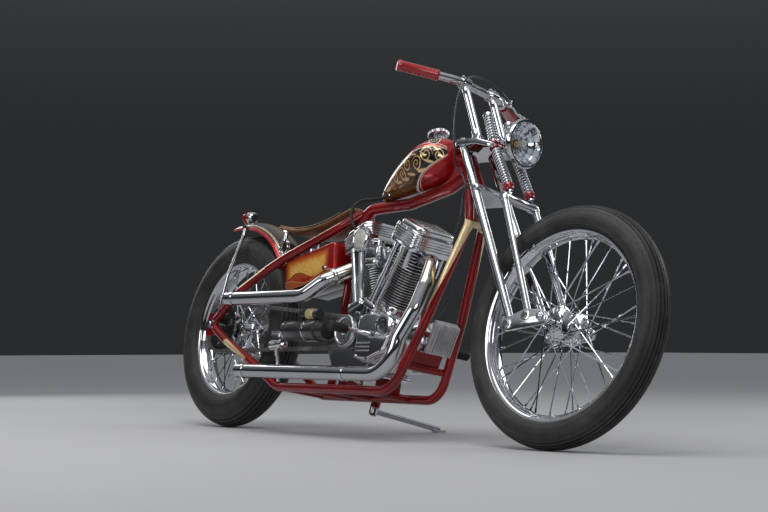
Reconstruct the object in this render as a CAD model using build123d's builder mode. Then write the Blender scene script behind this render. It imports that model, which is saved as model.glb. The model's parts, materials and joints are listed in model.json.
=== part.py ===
"""Chopper motorcycle, parked on its side stand, as an assembly of separate pieces.

Everything is drawn on an upright machine: X forward from the rear axle, Y to the left,
Z up from the ground, millimetres. Each piece is then placed as the machine parks: the
fork and its wheel turned by STEER, and the whole leaned by LEAN onto the side stand.
"""
from build123d import *
from math import cos, pi, radians, sin, sqrt, tan
import os

os.makedirs("parts", exist_ok=True)

# ---------------------------------------------------------------- driving sizes
WHEELBASE = 1655.0          # rear axle to front axle, steering straight
RAKE = 34.0                 # steering axis from the vertical, degrees
LEAN = 10.3                 # lean to the left on the side stand, degrees
STEER = 7.0                 # steering parked this far to the left, degrees

REAR_TYRE_RADIUS = 336.0
REAR_TYRE_CROWN = 59.0      # half the section width
REAR_RIM_RADIUS = 242.5
REAR_RIM_WIDTH = 78.0
FRONT_TYRE_RADIUS = 345.0
FRONT_TYRE_CROWN = 43.0
FRONT_RIM_RADIUS = 281.0
FRONT_RIM_WIDTH = 62.0
RIM_WALL = 5.0
RIM_BED_DEPTH = 15.0        # rim lip down to the bed that the tyre sits on
RIM_WELL_DEPTH = 10.0
SPOKES_PER_RING = 10        # four rings of spokes in each wheel
SPOKE_DIAMETER = 4.5

TUBE = 28.6                 # cradle and stay tubes
BACKBONE_TUBE = 38.0
RAIL_HALF = 90.0            # centre plane to a lower rail
RAIL_HEIGHT = 133.0
AXLE_PLATE_Y = 120.0        # centre plane to the middle of an axle plate
AXLE_PLATE = 9.0
REAR_AXLE = 19.0
FRONT_AXLE = 16.0
CLEAR = 0.3                 # gap between pieces that seat on each other
RUNNING = 1.0               # gap at turning shafts

NECK_X, NECK_Z = 1230.0, 720.0      # one point of the steering axis
NECK_LOW, NECK_HIGH = 735.0, 851.0  # heights of the neck tube's ends
NECK_TUBE = 52.0
STEM = 28.0

CRANK_X, CRANK_Z = 851.0, 305.0
CYLINDER_TILT = 22.5        # each cylinder from the vertical
CASE_HALF = 70.0
CASE_FLOOR = 128.0          # crank centre down to the case's flat bottom
DECK = 118.0                # crank centre to the cylinder's foot
BARREL = 118.0              # length of a finned cylinder
HEAD = 66.0
ROCKER_BOX = 78.0
TAPPET_TOP = 106.0          # crank centre to the tappet blocks' tops
PUSHROD_FOOT_Y = -92.0
PUSHROD_HEAD_Y = -76.0
FIN_COUNT = 11
FIN = 2.6

PIPE = 44.5                 # exhaust pipe
PIPE_WALL = 1.8
PIPE_Y = -165.0             # straight runs, to the right of the centre plane

SPROCKET_Y = -80.0          # chain line
REAR_SPROCKET = 86.0        # radius of the chain's centre line
DRIVE_SPROCKET = 46.0
DRIVE_X, DRIVE_Z = 790.0, 312.0
CHAIN_HEIGHT = 15.0
CHAIN_WIDTH = 14.0

LEG_TUBE = 27.0             # fork legs
LEG_TOP = Vector(1184.0, 62.0, 862.0)     # rear leg at the top tree
PIVOT = Vector(1529.0, 80.0, 324.0)       # rocker on the rear leg
SPRING_EYE = Vector(1592.0, 86.0, 350.0)  # rocker on the spring leg
SPRING_SPLIT = Vector(1386.0, 45.0, 732.0)
SPRING_PLATE = Vector(1288.0, 45.0, 870.0)
SPRING_TOP = Vector(1232.0, 45.0, 978.0)
SPRING_OD = 34.0
ROCKER_Y = 96.0

BAR = 25.4
BAR_X, BAR_Z = 1123.0, 1076.0
BAR_HALF = 250.0
BAR_SWEEP = 26.5
RISER_HALF = 60.0
BAR_END_X = BAR_X - (BAR_HALF - RISER_HALF) * tan(radians(BAR_SWEEP))
GRIP = 36.0
GRIP_LENGTH = 125.0

PEG_X, PEG_Z = 930.0, 300.0
PEG_END = 268.0

STAND_PIVOT = Vector(700.0, 106.0, 104.0)
STAND_AXIS = Vector(0.0, 0.19, 0.98).normalized()
STAND_REACH = Vector(45.0, 223.0, 0.0)     # from the pivot to the foot, along the floor
STAND_LEG = 18.0
STAND_PIN = 12.0
STAND_EYE = 20.0            # thickness of the eye that turns on the pin

AXLE = Vector(0.0, 0.0, REAR_TYRE_RADIUS)
FRONT_HUB = Vector(WHEELBASE, 0.0, FRONT_TYRE_RADIUS)


def steering_point(height):
    """The point of the steering axis at a height."""
    return Vector(NECK_X + (NECK_Z - height) * tan(radians(RAKE)), 0, height)


STEERING_AXIS = Vector(-sin(radians(RAKE)), 0, cos(radians(RAKE)))


# ---------------------------------------------------------------- how it parks
def about_axis(point, direction, angle):
    """A turn about a line, as a Location."""
    plane = Plane(origin=point, z_dir=direction)
    return plane.location * Location((0, 0, 0), (0, 0, angle)) * plane.location.inverse()


def moved(place, point):
    """A point after a Location."""
    return Plane(place).from_local_coords(point)


def lowest(place, centre, radius, crown):
    """Height of a leaned tyre's lowest point: a ring of round section."""
    hub = moved(place, centre)
    tilt = (moved(place, centre + Vector(0, 1, 0)) - hub).Z
    return hub.Z - (radius - crown) * sqrt(1 - tilt * tilt) - crown


TURNED = about_axis(steering_point(NECK_Z), STEERING_AXIS, STEER)


def leaned(pitch):
    return Location((0, 0, 0), (0, pitch, 0)) * Location((0, 0, 0), (-LEAN, 0, 0))


pitch = 0.0
for _ in range(12):
    rear_low = lowest(leaned(pitch), AXLE, REAR_TYRE_RADIUS, REAR_TYRE_CROWN)
    front_low = lowest(leaned(pitch) * TURNED, FRONT_HUB, FRONT_TYRE_RADIUS, FRONT_TYRE_CROWN)
    pitch += (front_low - rear_low) / (WHEELBASE * pi / 180)
STANDING = Location((0, 0, -rear_low)) * leaned(pitch)

# The origin is on the floor, at the middle of the parked machine's length and width.
tail_x = -REAR_TYRE_RADIUS
nose_x = moved(STANDING * TURNED, FRONT_HUB).X + FRONT_TYRE_RADIUS * cos(radians(STEER))
right_y = moved(STANDING, Vector(PEG_X, -PEG_END, PEG_Z)).Y
left_y = moved(STANDING * TURNED, Vector(BAR_END_X, BAR_HALF, BAR_Z)).Y + GRIP / 2 * cos(radians(BAR_SWEEP))
PARKED = Location((-(tail_x + nose_x) / 2, -(right_y + left_y) / 2, 0)) * STANDING
FORK = PARKED * TURNED


def write(built, name, place=PARKED):
    """Labels a finished piece, places it as it parks and writes its file."""
    piece = built.part.moved(place)
    piece.label = name
    export_step(piece, f"parts/{name}.step")


# ---------------------------------------------------------------- shared shapes
def side(point, sign):
    """The same point on the left (1) or the right (-1)."""
    return Vector(point.X, sign * point.Y, point.Z)


def tube(points, diameter, bends=0.0):
    """A round bar along a route with rounded corners."""
    with BuildPart() as bar:
        with BuildLine() as route:
            if len(points) == 2:
                Line(*points)
            else:
                FilletPolyline(*points, radius=bends)
        start = Plane(origin=route.line @ 0, z_dir=route.line % 0)
        with BuildSketch(start):
            Circle(diameter / 2)
        sweep(path=route.line)
    return bar.part


def hollow(points, diameter, wall, bends):
    """A tube with an open bore along a route."""
    with BuildPart() as pipe:
        with BuildLine() as route:
            FilletPolyline(*points, radius=bends)
        start = Plane(origin=route.line @ 0, z_dir=route.line % 0)
        with BuildSketch(start):
            Circle(diameter / 2)
            Circle(diameter / 2 - wall, mode=Mode.SUBTRACT)
        sweep(path=route.line)
    return pipe.part


def across(x, z, y_from, y_to, diameter):
    """A round bar across the machine."""
    return tube([Vector(x, y_from, z), Vector(x, y_to, z)], diameter)


# ================================================================ WHEELS
def tyre(centre, radius, crown, rim_radius, rim_width, grooves):
    """A tyre of round section on its rim's bed; grooves are (offset, width, depth)."""
    with BuildPart() as ring:
        with BuildSketch(Plane(origin=centre)):
            with Locations((radius - crown, 0)):
                Circle(crown)
            bed = rim_radius - RIM_BED_DEPTH
            with Locations((rim_radius - crown, 0)):
                Rectangle(2 * crown, 2 * crown + 2, mode=Mode.SUBTRACT)
            with Locations((bed + CLEAR, 0)):
                Rectangle(
                    RIM_BED_DEPTH + 2, rim_width - 2 * RIM_WALL - 2 * CLEAR, align=(Align.MIN, Align.CENTER)
                )
            for offset_y, width, depth in grooves:
                reach = radius - crown + sqrt(crown * crown - offset_y * offset_y)
                with Locations((reach - depth, offset_y)):
                    Rectangle(depth + 4, width, align=(Align.MIN, Align.CENTER), mode=Mode.SUBTRACT)
        revolve(axis=Axis(centre, (0, 1, 0)))
    return ring


def rim(centre, rim_radius, rim_width):
    """A drop-centre rim: two lips, a bed and a well."""
    bed = rim_radius - RIM_BED_DEPTH
    half = rim_width / 2
    with BuildPart() as ring:
        with BuildSketch(Plane(origin=centre)):
            with Locations((bed, 0)):
                Rectangle(RIM_WALL, rim_width, align=(Align.MAX, Align.CENTER))
            for sign in (1, -1):
                with Locations((bed - RIM_WALL, sign * (half - RIM_WALL / 2))):
                    Rectangle(RIM_BED_DEPTH + RIM_WALL, RIM_WALL, align=(Align.MIN, Align.CENTER))
            with Locations((bed - RIM_WALL - RIM_WELL_DEPTH, 0)):
                Rectangle(RIM_WELL_DEPTH, rim_width * 0.5, align=(Align.MIN, Align.CENTER))
        revolve(axis=Axis(centre, (0, 1, 0)))
    return ring


def laced_hub(centre, flange, flange_half, barrel, bore, length, rim_radius, rim_width):
    """A hub with its spokes: four rings, leading and trailing, one pair for each flange."""
    well = rim_radius - RIM_BED_DEPTH - RIM_WALL - RIM_WELL_DEPTH
    with BuildPart() as hub:
        with BuildSketch(Plane(origin=centre)):
            Rectangle(barrel, length, align=(Align.MIN, Align.CENTER))
            for sign in (1, -1):
                with Locations((0, sign * flange_half)):
                    Rectangle(flange, 7, align=(Align.MIN, Align.CENTER))
        revolve(axis=Axis(centre, (0, 1, 0)))
        for ring, (flange_side, lead) in enumerate(((1, 50), (1, -50), (-1, 50), (-1, -50))):
            for count in range(SPOKES_PER_RING):
                foot = radians(count * 360 / SPOKES_PER_RING + ring * 9)
                tip = foot + radians(lead)
                start = centre + Vector(
                    (flange - 6) * cos(foot), flange_side * (flange_half - lead / 25), (flange - 6) * sin(foot)
                )
                end = centre + Vector((well + 4) * cos(tip), flange_side * rim_width * 0.1, (well + 4) * sin(tip))
                add(tube([start, end], SPOKE_DIAMETER))
        with BuildSketch(Plane(origin=centre)):
            with Locations((well, 0)):
                Rectangle(30, rim_width, align=(Align.MIN, Align.CENTER))
        revolve(axis=Axis(centre, (0, 1, 0)), mode=Mode.SUBTRACT)
        with Locations(Location(centre, (90, 0, 0))):
            Cylinder(bore / 2, length + 2, mode=Mode.SUBTRACT)
    return hub


REAR_GROOVES = [(-30, 5, 6), (-11, 5, 7), (11, 5, 7), (30, 5, 6)]
FRONT_GROOVES = [(-21, 4, 5), (-8, 4, 5), (8, 4, 5), (21, 4, 5)]

rear_tyre = tyre(AXLE, REAR_TYRE_RADIUS, REAR_TYRE_CROWN, REAR_RIM_RADIUS, REAR_RIM_WIDTH, REAR_GROOVES)
write(rear_tyre, "rear_tyre")
rear_rim = rim(AXLE, REAR_RIM_RADIUS, REAR_RIM_WIDTH)
write(rear_rim, "rear_rim")
REAR_HUB_HALF = 58.0
rear_hub = laced_hub(AXLE, 56, 34, 34, REAR_AXLE + RUNNING, 2 * REAR_HUB_HALF, REAR_RIM_RADIUS, REAR_RIM_WIDTH)
write(rear_hub, "rear_hub_and_spokes")

front_tyre = tyre(
    FRONT_HUB, FRONT_TYRE_RADIUS, FRONT_TYRE_CROWN, FRONT_RIM_RADIUS, FRONT_RIM_WIDTH, FRONT_GROOVES
)
write(front_tyre, "front_tyre", FORK)
front_rim = rim(FRONT_HUB, FRONT_RIM_RADIUS, FRONT_RIM_WIDTH)
write(front_rim, "front_rim", FORK)
FRONT_HUB_HALF = 52.0
front_hub = laced_hub(
    FRONT_HUB, 50, 34, 26, FRONT_AXLE + RUNNING, 2 * FRONT_HUB_HALF, FRONT_RIM_RADIUS, FRONT_RIM_WIDTH
)
write(front_hub, "front_hub_and_spokes", FORK)

# Rear sprocket and brake disc, bolted to the hub's ends.
with BuildPart() as rear_sprocket:
    with BuildSketch(Plane(origin=AXLE + Vector(0, SPROCKET_Y, 0), z_dir=(0, 1, 0))):
        Circle(REAR_SPROCKET - 9)
        with PolarLocations(REAR_SPROCKET * 0.62, 6):
            Circle(12, mode=Mode.SUBTRACT)
    extrude(amount=3, both=True)
    with BuildSketch(Plane(origin=AXLE + Vector(0, -REAR_HUB_HALF - CLEAR, 0), z_dir=(0, -1, 0))):
        Circle(40)
    extrude(amount=-SPROCKET_Y - REAR_HUB_HALF + 2)
    with Locations(Location(AXLE + Vector(0, SPROCKET_Y, 0), (90, 0, 0))):
        Cylinder((REAR_AXLE + RUNNING) / 2, 80, mode=Mode.SUBTRACT)
write(rear_sprocket, "rear_sprocket")

BRAKE_DISC = 125.0
with BuildPart() as brake_disc:
    with BuildSketch(Plane(origin=AXLE + Vector(0, 80, 0), z_dir=(0, 1, 0))):
        Circle(BRAKE_DISC)
        with PolarLocations(BRAKE_DISC * 0.6, 6):
            Circle(16, mode=Mode.SUBTRACT)
    extrude(amount=2.5, both=True)
    with BuildSketch(Plane(origin=AXLE + Vector(0, REAR_HUB_HALF + CLEAR, 0), z_dir=(0, 1, 0))):
        Circle(40)
    extrude(amount=80 - REAR_HUB_HALF + 2)
    with Locations(Location(AXLE + Vector(0, 80, 0), (90, 0, 0))):
        Cylinder((REAR_AXLE + RUNNING) / 2, 80, mode=Mode.SUBTRACT)
write(brake_disc, "rear_brake_disc")

# ================================================================ FRAME
BACKBONE = [Vector(600, 0, 660), Vector(679, 0, 728), Vector(882, 0, 733), Vector(1074, 0, 770)]
BACKBONE = BACKBONE + [steering_point(812)]
with BuildPart() as spine:
    add(tube([steering_point(NECK_LOW), steering_point(NECK_HIGH)], NECK_TUBE))
    add(tube(BACKBONE, BACKBONE_TUBE, 60))
    add(tube([Vector(616, 0, 676), Vector(596, 0, RAIL_HEIGHT + 2)], TUBE))
    add(across(596, RAIL_HEIGHT, -RAIL_HALF, RAIL_HALF, TUBE))
    add(tube([steering_point(730), steering_point(856)], STEM + 2 * RUNNING), mode=Mode.SUBTRACT)

CRADLE = [
    Vector(1186, 16, 750),
    Vector(1222, 26, 648),
    Vector(1140, 63, 378),
    Vector(1048, RAIL_HALF, RAIL_HEIGHT),
    Vector(415, RAIL_HALF, RAIL_HEIGHT),
    Vector(245, 100, 218),
    Vector(97, AXLE_PLATE_Y, 283),
    Vector(24, AXLE_PLATE_Y, 322),
]
cradles = {}
for name, sign in (("left", 1), ("right", -1)):
    with BuildPart() as cradle:
        add(tube([side(point, sign) for point in CRADLE], TUBE, [40, 120, 90, 90, 90, 60]))
        with BuildSketch(Plane(origin=AXLE + Vector(0, sign * AXLE_PLATE_Y, 0), z_dir=(0, 1, 0))):
            with Locations((0, 0)):
                RectangleRounded(78, 62, 18)
        extrude(amount=AXLE_PLATE / 2, both=True)
        with Locations(Location(AXLE + Vector(0, sign * AXLE_PLATE_Y, 0), (90, 0, 0))):
            Cylinder(REAR_AXLE / 2 + CLEAR, 60, mode=Mode.SUBTRACT)
        add(tube([steering_point(NECK_LOW - 8), steering_point(NECK_HIGH)], NECK_TUBE), mode=Mode.SUBTRACT)
        add(spine.part, mode=Mode.SUBTRACT)
        if sign == 1:
            with Locations(Plane(origin=STAND_PIVOT, z_dir=STAND_AXIS)):
                Cylinder(15, 24, align=(Align.CENTER, Align.CENTER, Align.MIN))
            with Locations(Plane(origin=STAND_PIVOT, z_dir=STAND_AXIS)):
                Cylinder(STAND_PIN / 2, STAND_EYE + 3 * RUNNING, align=(Align.CENTER, Align.CENTER, Align.MAX))
            with Locations(Plane(origin=STAND_PIVOT - STAND_AXIS * (STAND_EYE + 2 * RUNNING), z_dir=STAND_AXIS)):
                Cylinder(10, 4, align=(Align.CENTER, Align.CENTER, Align.MAX))
    cradles[name] = cradle

STAY = [
    Vector(18, AXLE_PLATE_Y, 352),
    Vector(62, AXLE_PLATE_Y - 6, 395),
    Vector(140, 110, 457),
    Vector(268, 100, 524),
    Vector(365, 98, 562),
    Vector(600, 50, 668),
    Vector(650, 18, 712),
]
with BuildPart() as stays:
    for sign in (1, -1):
        add(tube([side(point, sign) for point in STAY], TUBE, [40, 60, 60, 60, 50]))
    add(across(300, 537, -98, 98, 16))
    add(spine.part, mode=Mode.SUBTRACT)
    for cradle in cradles.values():
        add(cradle.part, mode=Mode.SUBTRACT)

write(spine, "frame_spine")
for name, cradle in cradles.items():
    write(cradle, f"frame_cradle_{name}")
write(stays, "frame_stays")

# Plates and tubes that tie the two cradles together.
MOUNT_PADS = (700.0, 900.0)  # cross tubes that carry the engine
REGULATOR_BAR = Vector(1115, 0, 312)
with BuildPart() as cross_members:
    add(across(1072, 215, -RAIL_HALF, RAIL_HALF, 22))
    with BuildSketch(Plane.XZ):
        with Locations((1068, 235)):
            Rectangle(10, 62, rotation=-20)
    extrude(amount=52, both=True)
    add(across(430, RAIL_HEIGHT, -RAIL_HALF, RAIL_HALF, 22))
    add(across(REGULATOR_BAR.X, REGULATOR_BAR.Z, -72, 72, 16))
    add(across(1222, 648, -26, 26, 22))
    for x in MOUNT_PADS:
        add(across(x, RAIL_HEIGHT, -RAIL_HALF, RAIL_HALF, 22))
        with Locations((x, 0, RAIL_HEIGHT)):
            Box(44, 64, CRANK_Z - CASE_FLOOR - RAIL_HEIGHT, align=(Align.CENTER, Align.CENTER, Align.MIN))
    for cradle in cradles.values():
        add(cradle.part, mode=Mode.SUBTRACT)
write(cross_members, "frame_cross_members")

with BuildPart() as rear_axle:
    add(across(AXLE.X, AXLE.Z, -142, 142, REAR_AXLE))
    for sign in (1, -1):
        inner = AXLE_PLATE_Y + AXLE_PLATE / 2 + CLEAR
        add(across(AXLE.X, AXLE.Z, sign * inner, sign * (inner + 12), 32))
write(rear_axle, "rear_axle")

# ================================================================ ENGINE
def cylinder_plane(tilt, distance):
    """Where a cylinder's axis stands at a distance from the crank; +X looks forward."""
    along = Vector(sin(radians(tilt)), 0, cos(radians(tilt)))
    origin = Vector(CRANK_X, 0, CRANK_Z) + along * distance
    return Plane(origin=origin, x_dir=Vector(cos(radians(tilt)), 0, -sin(radians(tilt))), z_dir=along)


with BuildPart() as crankcase:
    with BuildSketch(Plane.XZ):
        with Locations((CRANK_X + 14, CRANK_Z)):
            Circle(104)
        with Locations((CRANK_X - 138, CRANK_Z - 12)):
            Circle(80)
        with BuildLine():
            Polyline(
                (CRANK_X - 138, CRANK_Z + 68), (CRANK_X + 20, CRANK_Z + 100), (CRANK_X + 60, CRANK_Z - CASE_FLOOR),
                (CRANK_X - 160, CRANK_Z - CASE_FLOOR), close=True,
            )
        make_face()
    extrude(amount=CASE_HALF, both=True)
    for sign in (1, -1):
        with BuildSketch(cylinder_plane(sign * CYLINDER_TILT, 40)):
            with Locations((sign * 8, 0)):
                RectangleRounded(112, 122, 30)
        extrude(amount=DECK - 40 - CLEAR)
        with BuildSketch(cylinder_plane(sign * CYLINDER_TILT, TAPPET_TOP)):
            with Locations((sign * 2, PUSHROD_FOOT_Y + 3)):
                RectangleRounded(72, 44, 10)
        extrude(amount=-20)
write(crankcase, "crankcase")

cylinders = {}
for name, tilt in (("front", CYLINDER_TILT), ("rear", -CYLINDER_TILT)):
    with BuildPart() as cylinder:
        with BuildSketch(cylinder_plane(tilt, DECK)):
            Circle(48)
        extrude(amount=BARREL)
        for count in range(FIN_COUNT):
            with BuildSketch(cylinder_plane(tilt, DECK + 6 + count * (BARREL - 12 - FIN) / (FIN_COUNT - 1))):
                RectangleRounded(124, 128, 40)
            extrude(amount=FIN)
        inner = Plane.YZ.offset(CRANK_X + (1.5 if tilt > 0 else -1.5))
        split(bisect_by=inner, keep=Keep.TOP if tilt > 0 else Keep.BOTTOM)
    with BuildPart() as head:
        with BuildSketch(cylinder_plane(tilt, DECK + BARREL)):
            RectangleRounded(104, 112, 30)
        extrude(amount=HEAD)
        for count in range(5):
            with BuildSketch(cylinder_plane(tilt, DECK + BARREL + 4 + count * 12)):
                RectangleRounded(134, 128, 34)
            extrude(amount=3.2)
    with BuildPart() as rocker_box:
        with BuildSketch(cylinder_plane(tilt, DECK + BARREL + HEAD)):
            RectangleRounded(146, 164, 26)
        extrude(amount=ROCKER_BOX)
        fillet(rocker_box.edges().group_by(Axis.Z)[-1], 10)
    write(cylinder, f"cylinder_{name}")
    write(head, f"cylinder_head_{name}")
    write(rocker_box, f"rocker_box_{name}")
    cylinders[name] = (cylinder, head, rocker_box)

# Cam cover on the right and primary cover on the left, bolted to the case.
with BuildPart() as cam_cover:
    with BuildSketch(Plane.XZ.offset(CASE_HALF)):
        with BuildLine():
            FilletPolyline(
                (CRANK_X - 4, CRANK_Z + 58), (CRANK_X + 60, CRANK_Z + 72), (CRANK_X + 200, CRANK_Z + 46),
                (CRANK_X + 150, CRANK_Z - 62), (CRANK_X + 70, CRANK_Z - 90), (CRANK_X - 4, CRANK_Z - 84),
                radius=24, close=True,
            )
        make_face()
    extrude(amount=44)
    fillet(cam_cover.faces().sort_by(Axis.Y)[0].edges(), 8)
    with BuildSketch(Plane.XZ.offset(CASE_HALF + 44)):
        with Locations((CRANK_X + 140, CRANK_Z + 20)):
            Circle(38)
    extrude(amount=8)
    add(crankcase.part, mode=Mode.SUBTRACT)
write(cam_cover, "cam_cover")

with BuildPart() as primary_cover:
    with BuildSketch(Plane.XZ.offset(-CASE_HALF)):
        with BuildLine():
            FilletPolyline(
                (CRANK_X + 140, CRANK_Z + 80), (CRANK_X + 140, CRANK_Z - 90), (CRANK_X - 240, CRANK_Z - 100),
                (CRANK_X - 240, CRANK_Z + 80), radius=70, close=True,
            )
        make_face()
    extrude(amount=-62)
    fillet(primary_cover.faces().sort_by(Axis.Y)[-1].edges(), 14)
write(primary_cover, "primary_cover")

with BuildPart() as pushrod_tubes:
    for tilt in (CYLINDER_TILT, -CYLINDER_TILT):
        base = cylinder_plane(tilt, TAPPET_TOP - 6)
        for lateral in (-20, 20):
            start = base.from_local_coords(Vector(lateral * 0.7, PUSHROD_FOOT_Y, 0))
            end = base.from_local_coords(Vector(lateral, PUSHROD_HEAD_Y, DECK + BARREL + HEAD - TAPPET_TOP + 6 - CLEAR))
            add(tube([start, end], 19))
            add(tube([start, start + (end - start) * 0.2], 27))
    add(crankcase.part, mode=Mode.SUBTRACT)
    for cylinder, head, rocker_box in cylinders.values():
        add(rocker_box.part, mode=Mode.SUBTRACT)
write(pushrod_tubes, "pushrod_tubes")

with BuildPart() as carburettor:
    with BuildSketch(Plane(origin=(CRANK_X, 0, 560), z_dir=(0, -1, 0))):
        Circle(28)
    extrude(amount=70)
    with Locations((CRANK_X + 14, -90, 556)):
        Box(64, 52, 84)
    for sign in (1, -1):
        add(tube([Vector(CRANK_X, 0, 560), Vector(CRANK_X + sign * 62, 0, 572)], 42))
    for pieces in cylinders.values():
        for piece in pieces:
            add(piece.part, mode=Mode.SUBTRACT)
write(carburettor, "carburettor")

AIR_COVER = Vector(CRANK_X + 28, -150, 586)
with BuildPart() as air_cover:
    with BuildSketch(Plane(origin=AIR_COVER, z_dir=(0, -1, 0))):
        Circle(40)
    extrude(amount=22)
    fillet(air_cover.faces().sort_by(Axis.Y)[0].edges(), 8)
    with BuildSketch(Plane(origin=AIR_COVER, z_dir=(0, 1, 0))):
        Circle(24)
    extrude(amount=33.5)
write(air_cover, "air_cover")

with BuildPart() as starter:
    add(tube([Vector(480, -120, 311), Vector(670, -120, 311)], 70))
    add(tube([Vector(670, -120, 311), Vector(708, -120, 311)], 58))
    with Locations((694, -CASE_HALF - CLEAR, 311)):
        Box(28, 42, 40, align=(Align.CENTER, Align.MAX, Align.CENTER))
write(starter, "starter")

with BuildPart() as sprocket_cover:
    with BuildSketch(Plane(origin=(DRIVE_X, -CASE_HALF - 34, DRIVE_Z), z_dir=(0, -1, 0))):
        Circle(52)
    extrude(amount=18)
    fillet(sprocket_cover.faces().sort_by(Axis.Y)[0].edges(), 6)
    add(across(DRIVE_X - 44.5, DRIVE_Z, -CASE_HALF, -CASE_HALF - 38, 10))
write(sprocket_cover, "sprocket_cover")

REGULATOR_TILT = 20.0
forward = Vector(cos(radians(REGULATOR_TILT)), 0, -sin(radians(REGULATOR_TILT)))
with BuildPart() as regulator:
    back = Plane(origin=REGULATOR_BAR + forward * (8 + CLEAR), x_dir=(0, 1, 0), z_dir=forward)
    with BuildSketch(back):
        Rectangle(84, 104)
    extrude(amount=14)
    with BuildSketch(back.offset(14)):
        with GridLocations(9, 1, 9, 1):
            Rectangle(3, 96)
    extrude(amount=18)
write(regulator, "regulator")

# ================================================================ EXHAUSTS
UPPER_PIPE = [
    Vector(148, PIPE_Y, 414), Vector(607, PIPE_Y, 414), Vector(672, -138, 468), Vector(712, -60, 522),
]
LOWER_PIPE = [
    Vector(288, PIPE_Y, 172), Vector(1120, PIPE_Y, 172), Vector(1122, -152, 280),
    Vector(1156, -130, 372), Vector(1150, -100, 455), Vector(1116, -60, 528), Vector(1000, -20, 546),
]
for name, route, bends in (("rear", UPPER_PIPE, [60, 40]), ("front", LOWER_PIPE, [90, 60, 60, 60, 45])):
    with BuildPart() as exhaust:
        add(hollow(route, PIPE, PIPE_WALL, bends))
        for piece in cylinders[name]:
            add(piece.part, mode=Mode.SUBTRACT)
    write(exhaust, f"exhaust_{name}")

# ================================================================ TANKS, SEAT AND FENDER
OIL_TANK_SIDE = [(350, 550), (378, 448), (656, 497), (628, 611)]
with BuildPart() as oil_tank:
    with BuildSketch(Plane.XZ):
        with BuildLine():
            FilletPolyline(*OIL_TANK_SIDE, radius=18, close=True)
        make_face()
    extrude(amount=92)
    with BuildSketch(Plane.XZ):
        with BuildLine():
            FilletPolyline(*OIL_TANK_SIDE, radius=18, close=True)
        make_face()
    extrude(amount=-80)
    with Locations((636, 0, 550)):
        Box(98, 44, 200, mode=Mode.SUBTRACT)
    add(stays.part, mode=Mode.SUBTRACT)
write(oil_tank, "oil_tank")

TANK_PITCH = 20.0           # the tank's long axis, nose up
TANK_TAIL = Vector(728, 0, 757)
TANK_SECTIONS = [           # along the axis from the tail, rise off it, half width, half height
    (0, 0, 8, 9),
    (90, 0, 52, 36),
    (200, -2, 88, 60),
    (290, -4, 102, 74),
    (348, -6, 80, 61),
    (374, -8, 42, 35),
]
tank_along = Vector(cos(radians(TANK_PITCH)), 0, sin(radians(TANK_PITCH)))
tank_rise = Vector(-sin(radians(TANK_PITCH)), 0, cos(radians(TANK_PITCH)))
with BuildPart() as fuel_tank:
    for reach, rise, half_width, half_height in TANK_SECTIONS:
        station = TANK_TAIL + tank_along * reach + tank_rise * rise
        with BuildSketch(Plane(origin=station, x_dir=(0, 1, 0), z_dir=tank_along)):
            Ellipse(half_width, half_height)
    loft()
    add(tube(BACKBONE, BACKBONE_TUBE + 2 * CLEAR, 60), mode=Mode.SUBTRACT)
write(fuel_tank, "fuel_tank")

with BuildPart() as fuel_cap:
    add(tube([Vector(986, 0, 905), Vector(972, 0, 944)], 44))
    add(tube([Vector(972, 0, 944), Vector(966, 0, 960)], 66))
    add(fuel_tank.part, mode=Mode.SUBTRACT)
write(fuel_cap, "fuel_cap")

with BuildPart() as seat:
    with BuildSketch(Plane.XZ):
        with BuildLine():
            Spline((228, 676), (320, 652), (430, 648), (515, 674), (602, 730))
            Line((602, 730), (608, 745))
            Spline((608, 745), (520, 691), (430, 665), (320, 669), (224, 693))
            Line((224, 693), (228, 676))
        make_face()
    extrude(amount=95, both=True)
    with BuildSketch(Plane.XY.offset(600)):
        with BuildLine():
            Spline((615, -32), (520, -62), (400, -88), (300, -92), (225, -60))
            Line((225, -60), (225, 60))
            Spline((225, 60), (300, 92), (400, 88), (520, 62), (615, 32))
            Line((615, 32), (615, -32))
        make_face()
    extrude(amount=200, mode=Mode.INTERSECT)
write(seat, "seat")

SEAT_SPRING = 8.0
with BuildPart() as seat_springs:
    for sign in (1, -1):
        add(tube([Vector(300, sign * 70, 540), Vector(300, sign * 70, 664)], SEAT_SPRING * 2))
        with Locations(Location((300, sign * 70, 606), (90, 0, 0))):
            Torus(26, SEAT_SPRING / 2)
    add(tube([Vector(606, 0, 672), Vector(590, 0, 734)], 14))
    add(stays.part, mode=Mode.SUBTRACT)
    add(spine.part, mode=Mode.SUBTRACT)
    add(oil_tank.part, mode=Mode.SUBTRACT)
    add(seat.part, mode=Mode.SUBTRACT)
write(seat_springs, "seat_springs")

FENDER_EDGE = 350.0          # radius of the rolled edge
FENDER_CROWN = 34.0          # rise from the edge to the middle
FENDER_HALF = 65.0
FENDER_WALL = 3.0
FENDER_FROM, FENDER_TO = 36.0, 99.0      # angles above the horizontal ahead of the axle
with BuildPart() as rear_fender:
    start = Plane(
        origin=AXLE,
        x_dir=(cos(radians(FENDER_FROM)), 0, sin(radians(FENDER_FROM))),
        z_dir=(-sin(radians(FENDER_FROM)), 0, cos(radians(FENDER_FROM))),
    )
    with BuildSketch(start):
        for inset, mode in ((0, Mode.ADD), (FENDER_WALL, Mode.SUBTRACT)):
            with BuildSketch(mode=Mode.PRIVATE) as arch:
                with BuildLine():
                    ThreePointArc(
                        (FENDER_EDGE, inset - FENDER_HALF),
                        (FENDER_EDGE + FENDER_CROWN - inset, 0),
                        (FENDER_EDGE, FENDER_HALF - inset),
                    )
                    Line((FENDER_EDGE, FENDER_HALF - inset), (FENDER_EDGE, inset - FENDER_HALF))
                make_face()
            add(arch.sketch, mode=mode)
    revolve(axis=Axis(AXLE, (0, -1, 0)), revolution_arc=FENDER_TO - FENDER_FROM)
write(rear_fender, "rear_fender")

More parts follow.
